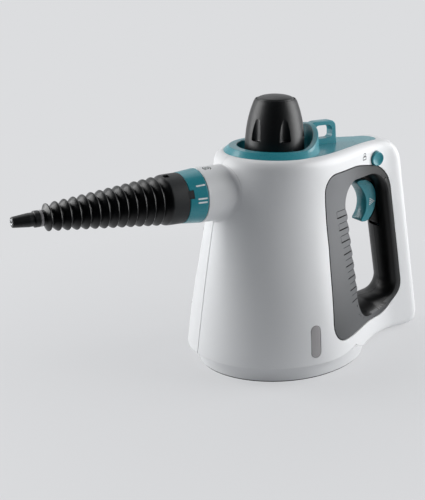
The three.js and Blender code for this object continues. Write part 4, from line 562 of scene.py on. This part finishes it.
# Painted shade: the rubber's own colour shows palest, at the top in front. It is darkened
# downwards, and to nearly black round the bar behind the opening, where shade falls.
tree = GRIP_TPE.node_tree
shader = tree.nodes["Principled BSDF"]
spot = add_node(tree, "SeparateXYZ", {0: add_node(tree, "TexCoord").outputs["Object"]})
painted_shade_low = add_node(tree, "MapRange",
                    {"Value": spot.outputs["Z"], "From Min": 150 * MM, "From Max": 40 * MM})
painted_shade_behind = add_node(tree, "Math", {0: spot.outputs["Z"], 1: 0.36, 2: spot.outputs["X"]},
                    operation="MULTIPLY_ADD")
painted_shade_behind = add_node(tree, "MapRange",
                    {"Value": painted_shade_behind.outputs[0], "From Min": 98 * MM, "From Max": 154 * MM},
                    interpolation_type="SMOOTHSTEP")
# The rubber's colour with the painted shade mixed in: darker downwards, nearly black behind.
plain = shader.inputs["Base Color"].links[0].from_socket
plain = add_node(tree, "Mix", {0: painted_shade_low.outputs[0], 6: plain, 7: linear("#434547")},
                 data_type="RGBA")
plain = add_node(tree, "Mix", {0: painted_shade_behind.outputs[0], 6: plain.outputs[2], 7: linear("#0e1012")},
                 data_type="RGBA")
tree.links.new(plain.outputs[2], shader.inputs["Base Color"])
# The same rubber where the mould is polished, inside the hand opening: darker and glossier.
SCOOP_TPE = moulded("black_tpe_polished", "#08090a", 0.36, 3, 0.003, drift=0.1, ior=1.36)

grip = fine_skin("near_grip")
shaped(grip, "INTERSECT", prism("panel", eased(GRIP_CORNERS), -THROUGH, THROUGH))
flange = plain_skin("flange", 1)
shaped(flange, "INTERSECT", prism("panel", eased(spread(GRIP_CORNERS, FLANGE_MARGIN)), -THROUGH, THROUGH))
shaped(grip, "UNION", flange)
shaped(grip, "DIFFERENCE", coarse_skin("panel_back", GRIP_SKIN, GRIP_SKIN))
lining = fine_skin("lining")
shaped(lining, "INTERSECT", opening("lining_outside", LINING, False))
shaped(grip, "UNION", lining)


def groove(points, deep, wide):
    """A shallow V that follows the near flank through (x, z) points and runs out at both ends."""
    rings = []
    for i, (x, z) in enumerate(points):
        surface = -half_width(x, section(z))
        share = 0.35 if i in (0, len(points) - 1) else 1
        rings.append([(x, surface - 1, z - wide * 1.8), (x, surface - 1, z + wide * 1.8),
                      (x, surface + deep * share, z)])
    return wrapped("groove", rings)


# A deep groove and a fainter one over it run from each tooth, so that they frame a low block.
# On the top three a faint line joins their inner ends.
grooves = []
for tooth in range(TEETH):
    x, z, length = 58.3 - tooth * 1.66, 56.5 + tooth * TOOTH_PITCH, 14 + tooth * 0.4
    for up, deep, wide in ((0, 1.0, 0.6), (5.5, 0.5, 0.36)):
        grooves.append(groove([(x + 4 - up * 0.15 - share * (length - up * 0.2), z + up)
                               for share in (0, 0.3, 0.6, 0.85, 0.96, 1)], deep, wide))
for tooth in (5, 6, 7):
    rings = []
    for share in (0, 0.5, 1):
        x, z = 48.6 - tooth * 2.06 - share * 0.6, 56.5 + tooth * TOOTH_PITCH + share * 5.4
        surface = -half_width(x, section(z))
        rings.append([(x - 0.6, surface - 1, z), (x + 0.6, surface - 1, z), (x, surface + 0.35, z)])
    grooves.append(wrapped("groove", rings))
for made in list(grooves):
    far = copy_of(made, "far_groove")
    for vertex in far.data.vertices:
        vertex.co.y *= -1
    far.data.flip_normals()
    grooves.append(far)
shaped(grip, "DIFFERENCE", opening("hand_opening", 0, True),
       block("trigger_slot", (90, -7.5, 103.6), (126, 7.5, 157.5)), *grooves)
far_grip = copy_of(grip, "far_grip")
shaped(grip, "DIFFERENCE", side_of_middle(1))
shaped(far_grip, "DIFFERENCE", side_of_middle(-1))
for piece, node in ((grip, "left_grip"), (far_grip, "right_grip")):
    finished(piece, None, "body", "soft_grip", node, weighted=False)
    piece.data.materials.clear()
    piece.data.materials.append(GRIP_TPE)
    piece.data.materials.append(SCOOP_TPE)
    for face in piece.data.polygons:
        x, y, z = face.center / MM
        on_skin = abs(abs(y) - half_width(x, section(z))) < 0.5 and abs(face.normal.y) > 0.5
        face.material_index = 0 if on_skin else 1

# Skirt and base plate. The white oval skirt hangs under the body's edge, and the dark plate
# closes it from below, held by four screws in wells. Both are moulded; of the plate only the
# rim shows from the side, as a thin dark line.
SKIRT_CENTRE_X, SKIRT_FRONT, SKIRT_BACK, SKIRT_HALF_WIDTH = 7.8, 72.8, 82, 63.2


def oval(grow, z, steps=128):
    """The skirt's outline at its foot, grown: longer behind its centre than in front."""
    spots = []
    for k in range(steps):
        along, across = math.cos(2 * math.pi * k / steps), math.sin(2 * math.pi * k / steps)
        reach = (SKIRT_BACK if along > 0 else SKIRT_FRONT) + grow
        spots.append((SKIRT_CENTRE_X + reach * along, (SKIRT_HALF_WIDTH + grow) * across, z))
    return spots


# Glass-filled polyamide for what gets hot: black and satin, with a slight mottle.
BLACK_PA = moulded("black_polyamide_satin", "#141618", 0.4, 1.1, 0.03, drift=0.15)

skirt = wrapped("base_skirt_moulding", [
    oval(-2.5, 1.3), oval(-0.8, 1.3), oval(-0.25, 1.5), oval(0, 2.1), oval(1, 7.2), oval(2, 12.5),
    oval(3, 16.9), oval(5.5, 16.9), oval(5.5, 19.1), oval(0.5, 19.1)], closed=True)
room = coarse_skin("room", WALL + FIT, TOP_WALL)
shaped(room, "UNION", under_edge("below_edge", FIT))
shaped(skirt, "INTERSECT", room)
finished(skirt, WHITE_ABS, "body", "white_shell", "base_skirt")

plate = wrapped("base_plate_moulding", [
    oval(-12, 0.7), oval(-11.4, 0), oval(-2, 0), oval(-1.3, 0.25), oval(-1.1, 0.7), oval(-1.1, 1),
    oval(-2.8, 1), oval(-2.8, 4), oval(-20, 4)])
BASE_SCREWS = [(SKIRT_CENTRE_X + 45 * a, 38 * b) for a in (-1, 1) for b in (-1, 1)]
well_side = [(0, -5), (HEAD_HOLE, -5), (HEAD_HOLE, 3), (SCREW_HOLE, 3), (SCREW_HOLE, 20), (0, 20)]
wells = [turned("well", well_side, 32, "z", (x, y, 0)) for x, y in BASE_SCREWS]
shaped(plate, "DIFFERENCE", *wells)
finished(plate, BLACK_PA, "body", "black_plastic", "base_plate")

# Top cover. One teal moulding: the plate along the handle's top, the filler well with its
# sloped collar, the hood behind the cap and the hanging loop behind that.

# The same ABS, coloured through in teal.
TEAL_ABS = moulded("teal_abs_satin", "#2a8c99", 0.3, 0.8, 0.01, drift=0.04, coat=0.2)

cover = prism("top_cover_moulding", cover_outline(COVER_MARGIN), COVER_FOOT_Z, TOP_Z, "z")
WELL_RADIUS = 31.7


def collar_section(angle):
    """The collar's section: a broad slope in front and a steep, raised hood behind."""
    behind = max(0, math.cos(angle))
    high = 190.5 + 15.2 * behind ** 2.4
    from_back = math.degrees(abs(math.remainder(angle, 2 * math.pi)))
    front = 1 - fade((from_back - 30) / 70 if behind < 0.866 else 0)
    foot = mix(37.9, 43.4, front)
    rim = 36.3 + 3.1 * max(0, -math.cos(angle)) ** 2.5
    waist, waist_z = mix(rim + 0.7, mix(foot, rim, 0.5), front), mix(190.6, 188.1, front)
    corners = [(foot - 1.8, 185.5), (foot, 185.6, 0.3), (waist, waist_z),
               (mix(waist, rim, 0.5), mix(waist_z, high, 0.5)), (rim, high, 0.9),
               (mix(WELL_RADIUS, rim, 0.5), high), (WELL_RADIUS, high, 0.9), (WELL_RADIUS, 182),
               (WELL_RADIUS, 180), (34.1, 180), (34.1, 184), (foot - 1.8, 184)]
    return [(r * math.cos(angle), r * math.sin(angle), z) for r, z in eased(corners, 4)]


collar = wrapped("collar", [collar_section(2 * math.pi * k / 144) for k in range(144)], closed=True)
well_floor = turned("well_floor", [(15.3, 179.8), (33, 179.8), (33, 182), (15.3, 182), (15.3, 179.8)], 96)
loop = prism("loop", eased([(33, 184), (62.3, 184), (60.2, 206.3, 6), (40, 206.3, 4), (34.5, 205.2, 0.4),
                            (33, 205.1)], 8), -4, 4)
window = prism("window", eased([(38.6, 191.2, 2.5), (57, 191.2, 3), (57, 202.8, 5.5), (38.6, 202.8, 4)], 8),
               -9, 9)


def softened(piece, width, segments=3, angle=40):
    """Rounds a piece's sharp edges with a bevel."""
    modifier = piece.modifiers.new("edges", "BEVEL")
    modifier.width, modifier.segments = width * MM, segments
    modifier.limit_method, modifier.angle_limit = "ANGLE", math.radians(angle)
    modifier.use_clamp_overlap = False
    bpy.context.view_layer.objects.active = piece
    bpy.ops.object.modifier_apply(modifier=modifier.name)


softened(loop, 0.7)
shaped(loop, "DIFFERENCE", window)
shaped(cover, "DIFFERENCE", rod("room", WELL_RADIUS, 170, 230, 144))
shaped(loop, "DIFFERENCE", rod("room", 33.5, 170, 230, 144))
shaped(cover, "UNION", collar, well_floor, loop)
finished(cover, TEAL_ABS, "body", "teal_plastic", "top_cover", sharp=34)

# Filler cap. A hollow black knob, turned by hand: it tapers in a long curve and has six
# finger scallops. A domed disc with a fine joint round it is let into its top.
knob_side = [(25.1 - 7.9 * (i / 40) ** 2.4, 184.6 + 44.5 * i / 40) for i in range(1, 39)]
knob_top = [(17.3, 228.3), (17, 228.8), (16.7, 229.1), (16.3, 229.1), (16.2, 228.9), (16.2, 226.5),
            (0, 226.5)]
knob = turned("filler_cap", [(0, 188), (23, 188), (24, 184.9), (24.7, 184.6)] + knob_side + knob_top, 144)
scallops = []
for k in range(6):
    angle = math.radians(17 + 60 * k)
    scallops.append(turned("scallop", eased([(0, 196.5), (6.8, 196.5, 1.1), (6.8, 235), (0, 235)], 4, False),
                           64, "z", (28.8 * math.cos(angle), 28.8 * math.sin(angle), 0)))
stem_room = turned("stem_room", [(0, 170), (17.5, 170), (17.5, 190.5), (9.3, 190.5), (9.3, 205.3),
                                 (0, 205.3)], 48)
shaped(knob, "DIFFERENCE", stem_room, *scallops)
finished(knob, BLACK_PA, "cap", "black_plastic", "cap_knob", sharp=28)
dome = [(15.4 * math.cos(a), 228.6 + 3.8 * math.sin(a)) for a in (math.pi / 2 * k / 16 for k in range(1, 16))]
disc = turned("cap_disc_inlay", [(0, 226.8), (15.9, 226.8), (15.9, 228.2), (15.75, 228.45), (15.4, 228.6)]
              + dome + [(0, 232.4)], 144)
finished(disc, BLACK_PA, "cap", "black_plastic", "cap_disc", sharp=40)

# Lock ring. A teal moulding that turns on the neck, with the two printed settings, one bar
# and two, and a notch in which the nozzle's tab sits.
RING_REAR_X, RING_FRONT_X, RING_REAR_RADIUS, RING_FRONT_RADIUS = -76.5, -92.2, 22.5, 20.9
RING_BORE, TAB_TURN = 16.1, 289
ring = turned("lock_ring_moulding", eased([
    (RING_BORE, RING_REAR_X), (RING_REAR_RADIUS, RING_REAR_X, 0.7), (RING_FRONT_RADIUS, RING_FRONT_X, 0.6),
    (RING_BORE, RING_FRONT_X), (RING_BORE, RING_REAR_X)], 4, False), 144, "x", NOZZLE_AXIS)


def about_nozzle(piece, degrees):
    """Turns a piece that was made on the nozzle's top, from there towards the near side."""
    spot = Vector((0, 0, NOZZLE_Z * MM))
    piece.data.transform(Matrix.Translation(spot) @ Matrix.Rotation(math.radians(-degrees), 4, "X")
                         @ Matrix.Translation(-spot))
    return piece


def tab_block(gap, front=RING_FRONT_X - 4):
    """The nozzle's tab, grown by a gap, at the place round the ring where its notch is."""
    tab = block("tab", (front, -3.2 - gap, NOZZLE_Z + 17.9 - gap), (-88.8 + gap, 3.2 + gap, 190))
    return about_nozzle(tab, TAB_TURN)


shaped(ring, "DIFFERENCE", tab_block(FIT))
finished(ring, TEAL_ABS, "ring", "teal_plastic", "lock_ring")


def joined(pieces, name):
    """Makes several pieces one, under a name of its own."""
    select_only(*pieces)
    bpy.ops.object.join()
    pieces[0].name = name
    return pieces[0]


# Pad-printed white ink: even and matt.
PRINT_WHITE = moulded("white_pad_print", "#eef0f0", 0.5, 0.8, 0.01, drift=0.02)
BAR_X, BAR_WIDTH, BAR_LENGTH = -81.8, 1.35, 8.1
bars = []
for degrees in (305.5, 277.5, 269.5):
    rings = [[], []]
    for a, b in stadium(0, 0, BAR_WIDTH, BAR_LENGTH, 6):
        share = (RING_REAR_X - BAR_X + b) / (RING_REAR_X - RING_FRONT_X)
        ring_top = NOZZLE_Z + mix(RING_REAR_RADIUS, RING_FRONT_RADIUS, share)
        for edge, lift in zip(rings, (-0.3, 0.07)):
            edge.append((BAR_X - b, a, ring_top + lift))
    bars.append(about_nozzle(wrapped("ring_bar", rings), degrees))
finished(joined(bars, "ring_setting_bars"), PRINT_WHITE, "ring", "white_shell")

# Nozzle guard. The ribbed black cover that keeps the hand off the hot pipe: a plain grained
# collar with a latch window, and fourteen ribs that shrink towards the tip. Each rib slopes
# away to the tip and drops steeply behind.
def from_seat(points):
    """Corners of (radius, distance from the ring's seat towards the tip, edge radius), placed along X."""
    return [(radius, RING_SEAT_X - along, *edge) for radius, along, *edge in points]


# Smooth black polyamide of the ribbed guard, a little glossier.
RIB_PA = moulded("black_polyamide_smooth", "#0c0e10", 0.33, 2.5, 0.004, drift=0.12)

RIBS, FIRST_RIB, RIB_PITCH, FIRST_CREST, CREST_STEP = 14, 31.2, 7.46, 20.2, 0.735
RIB_SHAPE = ((3.3, -2.6), (3.2, -2), (1.2, -0.9), (0.25, -0.55), (0, 0), (0.15, 0.5), (0.9, 1.6), (1.9, 2.7),
             (3.1, 3.9), (3.5, 4.4))
GUARD_REAR = (14.7, -92.5)
ribs = []
for k in range(RIBS):
    along, crest = FIRST_RIB + RIB_PITCH * k, FIRST_CREST - CREST_STEP * k
    ribs += from_seat((crest - low, along + on) for low, on in RIB_SHAPE)
plain_collar = eased([GUARD_REAR, (20.7, -92.5, 0.5)] + from_seat([(20.6, 24), (20.45, 30.2)]), 4, False)
guard_end = from_seat([(9, 129.4), (7.2, 130.3), (6.2, 130.6), (6, 132.5), (4.1, 132.5), (4.1, 128),
                       (14.7, 31.2)])
guard = turned("nozzle_guard", plain_collar + ribs[4:-4] + guard_end + [GUARD_REAR], 128, "x", NOZZLE_AXIS)
tab = tab_block(0, -93.5)
tab_skin = turned("tab_skin", [(15, -80), (22.1, -80), (20.95, -92.2), (20.7, -94), (15, -94), (15, -80)],
                  128, "x", NOZZLE_AXIS)
shaped(tab, "INTERSECT", tab_skin)
shaped(guard, "UNION", tab)
latch = about_nozzle(block("latch", (-107.3, -2.7, NOZZLE_Z + 18.9), (-102.7, 2.7, 190)), 350)
shaped(guard, "DIFFERENCE", latch)
finished(guard, RIB_PA, "nozzle", "black_plastic", "nozzle_shroud", sharp=30)
# The same polyamide where the mould is deeply grained, on the plain collar: greyer and rough.
guard.data.materials.append(moulded("black_polyamide_grained", "#202325", 0.55, 1.8, 0.05, drift=0.25))
for face in guard.data.polygons:
    if face.center.x > (RING_SEAT_X - 30.6) * MM:
        face.material_index = 1

# Tip. A grey washer, the black push-on tip with its flange, and the metal jet in its end. The
# two plastic ones are moulded and pushed over the pipe's end.

# Grey polycarbonate of the pilot light's window and the washer at the tip.
LENS_PC = moulded("grey_polycarbonate_frosted", "#a5a3a4", 0.34, 0.6, 0.03, drift=0.04, ior=1.58)

washer = turned("tip_washer", eased(from_seat([
    (4.1, 132.7), (6.4, 132.7, 0.3), (6.4, 134.7, 0.3), (4.1, 134.7), (4.1, 132.7)]), 3, False),
    64, "x", NOZZLE_AXIS)
finished(washer, LENS_PC, "nozzle", "grey_plastic", "tip_ring")
tip = turned("nozzle_tip_moulding", eased(from_seat([
    (4.1, 134.9), (6.4, 134.9, 0.4), (6.4, 139, 0.5), (5.3, 139.2, 0.2), (5.4, 143, 0.8), (4.1, 156, 0.6),
    (3, 156, 0.2), (3, 146), (1.6, 146), (1.6, 138.9), (4.1, 138.9), (4.1, 134.9)]), 4, False),
    72, "x", NOZZLE_AXIS)
finished(tip, BLACK_PA, "nozzle", "black_plastic", "nozzle_tip")


def metal(name, colour, roughness, scale, relief):
    """Machined or cast metal: its fine marks are scale millimetres apart."""
    marks = {"Scale": 1 / (scale * MM), "Detail": 4}
    return surfaced(name, colour, (0.88, 1.06), marks, marks,
                    {"To Min": roughness - 0.08, "To Max": roughness + 0.1},
                    {"Strength": 0.5, "Distance": relief * MM}, {"Metallic": 1})


# Stainless steel, turned: bright and slightly streaked.
STEEL = metal("stainless_steel_turned", "#a3a5a7", 0.45, 2.5, 0.01)
jet = turned("tip_jet", eased(from_seat([
    (0.9, 146.3), (2.7, 146.3, 0.2), (2.7, 156.3, 0.4), (1.7, 156.3, 0.4), (0.9, 155.4), (0.9, 146.3)]),
    3, False), 48, "x", NOZZLE_AXIS)
finished(jet, STEEL, "nozzle", "steel", "tip_insert")


# Trigger. A teal finger pad, a little rounded across its front, is clipped to the black lever that
# swings on the pin above. Its near side has a small printed fan of dots.
def through(points, steps=6):
    """A smooth line through the points."""
    line = []
    padded = [points[0]] + points + [points[-1]]
    for a, b, c, d in zip(padded, padded[1:], padded[2:], padded[3:]):
        for k in range(steps):
            t = k / steps
            line.append(tuple(
                0.5 * (2 * b[i] + (c[i] - a[i]) * t + (2 * a[i] - 5 * b[i] + 4 * c[i] - d[i]) * t * t
                       + (3 * b[i] - a[i] - 3 * c[i] + d[i]) * t ** 3) for i in (0, 1)))
    return line + [points[-1]]


def moved_in(outline, distance):
    """A closed outline with every point moved inwards along its own normal."""
    spots = [complex(*point) for point in outline]
    area = sum((a.conjugate() * b).imag for a, b in zip(spots, spots[1:] + spots[:1]))
    inwards = 1j if area > 0 else -1j
    moved = []
    for i, here in enumerate(spots):
        along = spots[(i + 1) % len(spots)] - spots[i - 1]
        here += along / abs(along) * inwards * distance
        moved.append((here.real, here.imag))
    return moved


pad_front = through([(84.6, 147.2), (90.4, 141.2), (94.6, 134), (96, 127), (95, 119.6), (91.3, 113)])
pad_back = through([(91.3, 113), (91.6, 111.2), (94.5, 110.6), (99.4, 111.8), (105, 119.4), (107, 128.6),
                    (105.8, 138), (101.2, 145.4), (94, 149.4), (88, 149.6), (85, 148.6), (84.6, 147.2)])[1:-1]
pad_outline = pad_front + pad_back
PAD_HALF_WIDTH, PAD_EDGE_RADIUS, PAD_SWELL = 7, 0.7, 1.3
rings = []
for y in (-7, -6.93, -6.7, -6.3, -5.7, -4.6, -3, -1.5, 0, 1.5, 3, 4.6, 5.7, 6.3, 6.7, 6.93, 7):
    ring_points = moved_in(pad_outline, drawn_in(PAD_HALF_WIDTH - abs(y), PAD_EDGE_RADIUS))
    swell = PAD_SWELL * (1 - (y / PAD_HALF_WIDTH) ** 2)
    for i in range(len(pad_front)):
        share = math.sin(math.pi * i / (len(pad_front) - 1)) ** 0.5
        ring_points[i] = (ring_points[i][0] - swell * share, ring_points[i][1])
    rings.append([(x, y, z) for x, z in ring_points])
pad = wrapped("trigger_finger_pad", rings)
finished(pad, TEAL_ABS, "trigger", "teal_plastic", "trigger_pad")

PIVOT, LEVER_HALF_WIDTH = (107, 0, 160), 6.4
lever = prism("trigger_lever_moulding", eased([
    (104.2, 160), (99.5, 156.6, 2), (93.8, 152.8, 1), (93.8, 149.2, 1), (103.6, 146.4, 3), (107.2, 139, 3),
    (108.2, 128.6, 4), (106.2, 118.8, 3), (100.6, 111.2, 0.8), (114.6, 105, 1), (120.4, 108, 1.5),
    (119.6, 130, 6), (113.6, 152, 4), (110.6, 160)], 4), -LEVER_HALF_WIDTH, LEVER_HALF_WIDTH)
softened(lever, 0.5, 2, 50)
boss = rod("boss", 4.6, -LEVER_HALF_WIDTH, LEVER_HALF_WIDTH, 48, "y", PIVOT)
arm = prism("arm", [(104, 160), (101, 164), (100.8, 173), (104.4, 173), (106.6, 166), (110, 160)], -2.6, 2.6)
shaped(lever, "UNION", boss, arm)
shaped(lever, "DIFFERENCE", rod("pin_hole", 1.95, -9, 9, 32, "y", PIVOT),
       prism("pad_room", moved_in(pad_outline, -0.05), -9, 9))
finished(lever, SCOOP_TPE, "trigger", "black_plastic", "trigger_lever")

dots = []
for column in range(4):
    for row in range(4 - column):
        x, z = 100.2 + column * 1.45, 131.4 - (row + column / 2) * 1.75
        dots.append(rod("dot", 0.58, -7.05, -6.8, 12, "y", (x, 0, z)))
finished(joined(dots, "trigger_print"), PRINT_WHITE, "trigger", "white_shell")

# Lock button. A teal push button with a shallow dish, in a round hole beside the grip's top,
# and the small padlock printed next to it on the shell.
button = turned("lock_button_moulding", [
    (0, -21.6), (3, -21.65), (4.5, -21.9), (5.3, -22.25), (5.6, -22.3), (5.95, -22.15), (6.2, -21.8),
    (6.3, -21.3), (6.6, -18), (6.6, -11.8), (2.8, -11.8), (2.8, -6.2), (0, -6.2)], 72, "y", LOCK_PLACE)
finished(button, TEAL_ABS, "lock_button", "teal_plastic", "lock_button")


def printed(name, loops, depth=0.25, proud=0.03):
    """Thin ink on the near flank: each loop is a closed strip of inner and outer outline."""
    made = []
    for outside, inside in loops:
        rings = []
        for outline, lift in ((outside, -depth), (outside, proud), (inside, proud), (inside, -depth)):
            rings.append([(x, -half_width(x, section(z)) - lift, z) for x, z in outline])
        made.append(wrapped(name, rings, closed=True))
    return joined(made, name)


# Pad-printed dark grey ink, as even and matt as the white.
PRINT_GREY = moulded("grey_pad_print", "#3c3f42", 0.5, 0.8, 0.01, drift=0.02)
lock_body = eased([(75, 172.5, 0.5), (80.3, 172.5, 0.5), (80.3, 175.7, 0.5), (75, 175.7, 0.5)], 3)
shackle = eased([(76.1, 175.8, 0.1), (79.5, 175.8, 0.1), (79.5, 178.8, 1.3), (76.1, 178.8, 1.3)], 3)
padlock = printed("padlock_print", [(lock_body, moved_in(lock_body, 0.75)),
                                    (shackle, moved_in(shackle, 0.65))])
finished(padlock, PRINT_GREY, "body", "black_plastic")

# Neck mark. A small printed ring between two arcs, on the neck's top, which the lock ring's
# settings are turned to.
def on_neck(outline):
    """Thin ink on the neck's top, turned to its place."""
    rings = [[(x, y, NOZZLE_Z + math.sqrt((NECK_RADIUS + lift) ** 2 - y * y)) for x, y in outline]
             for lift in (-0.2, 0.04)]
    return about_nozzle(wrapped("neck_mark", rings), 351)


MARK_X = -68


def arc_strip(inner, outer, start, end, steps=10):
    """A strip of a ring round the mark's middle, from one angle to another in degrees."""
    angles = [math.radians(mix(start, end, k / steps)) for k in range(steps + 1)]
    return ([(MARK_X + outer * math.cos(a), outer * math.sin(a)) for a in angles]
            + [(MARK_X + inner * math.cos(a), inner * math.sin(a)) for a in angles[::-1]])


marks = [on_neck(arc_strip(1.1, 2, 0, 359, 20)), on_neck(arc_strip(2.8, 3.7, 125, 235)),
         on_neck(arc_strip(2.8, 3.7, -55, 55))]
finished(joined(marks, "neck_print"), PRINT_GREY, "body", "black_plastic")

# Pilot light window. A frosted grey stadium, let flush into the flank over the lamp.
rings = []
for shrink, depth in ((0.3, 3), (0.3, 0.4), (0.45, 0.12), (0.8, 0), (2, -0.05), (3.4, -0.08), (4.6, -0.1)):
    outline = stadium(*LENS_PLACE, LENS_WIDTH - 2 * shrink, LENS_HEIGHT - 2 * shrink)
    rings.append([(x, depth - half_width(x, section(z)), z) for x, z in outline])
lens = wrapped("pilot_window", rings)
finished(lens, LENS_PC, "body", "lens_grey", "indicator_lens")

# Cord inlet. A black bush in the back of the handle, low down, with a flared mouth.
inlet = turned("cord_inlet_bush", eased([
    (3.5, inlet_end - 10), (6, inlet_end - 10, 0.3), (6, inlet_end - 1.5), (8, inlet_end - 1.5, 0.2),
    (8, inlet_end, 0.6), (4.6, inlet_end, 0.8), (3.5, inlet_end - 2, 1), (3.5, inlet_end - 10)], 4, False),
    64, "x", (0, 0, INLET_Z))
finished(inlet, BLACK_PA, "body", "black_plastic", "cord_inlet")


# Screws. Pan-head steel screws with a cross recess: four through the far half, sunk in
# wells, and four up through the base plate.
def cross_screw(name, head, tip, axis, place, points_out):
    """A screw whose head's face is at head and whose end is at tip, along its axis."""
    way = 1 if points_out else -1
    profile = eased([(0, head), (2.9, head, 0.9), (2.9, head - way * 2.3, 0.1), (1.5, head - way * 2.3, 0.1),
                     (1.5, tip + way * 1.5, 0.4), (0, tip)], 4, False)
    screw = turned(name, profile, 40, axis, place)
    x, y, z = place
    arms = []
    for long, short in ((1.7, 0.45), (0.45, 1.7)):
        if axis == "y":
            arms.append(block("arm", (x - long, head - 1.2, z - short), (x + long, head + 3, z + short)))
        else:
            arms.append(block("arm", (x - long, y - short, -3), (x + long, y + short, head + 1.2)))
    return shaped(screw, "DIFFERENCE", *arms)


for i, (x, z) in enumerate(HOUSING_SCREWS):
    head = half_width(x, section(z)) - HEAD_DEPTH
    screw = cross_screw(f"far_screw_{i + 1}", head, -13.7, "y", (x, 0, z), True)
    finished(screw, STEEL, "body", "steel", f"housing_screw_{i + 1}")
for i, (x, y) in enumerate(BASE_SCREWS):
    screw = cross_screw(f"plate_screw_{i + 1}", 0.6, 18, "z", (x, y, 0), False)
    finished(screw, STEEL, "body", "steel", f"base_screw_{i + 1}")

# Inside. Boiler, valve, rod, pipe and seals keep their own solids and get their finishes:
# cast aluminium, brass, steel, silicone and moulded plastic.
BRASS = metal("brass_turned", "#c9a557", 0.3, 3, 0.01)
CAST = metal("aluminium_die_cast", "#b2b5b8", 0.48, 1.4, 0.05)
SILICONE = moulded("red_silicone", "#a04a3a", 0.55, 1.2, 0.03, drift=0.1, ior=1.41)
TUBE = moulded("grey_silicone_tube", "#77797b", 0.5, 1.4, 0.02, drift=0.08, ior=1.41)
for name, material in {
    "boiler_lower": CAST, "boiler_upper": CAST, "filler_neck": BRASS, "cap_stem": BRASS,
    "relief_plunger": BRASS, "steam_valve": BRASS, "outlet_socket": BRASS, "relief_spring": STEEL,
    "return_spring": STEEL, "heating_element": STEEL, "thermostat": STEEL, "thermal_fuse": STEEL,
    "nozzle_pipe": STEEL, "trigger_pin": STEEL, "push_rod": BLACK_PA, "cap_gasket": SILICONE,
    "nozzle_seal": SILICONE, "steam_tube": TUBE, "indicator_lamp": LENS_PC,
}.items():
    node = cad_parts[name]
    node.data.materials.clear()
    node.data.materials.append(material)
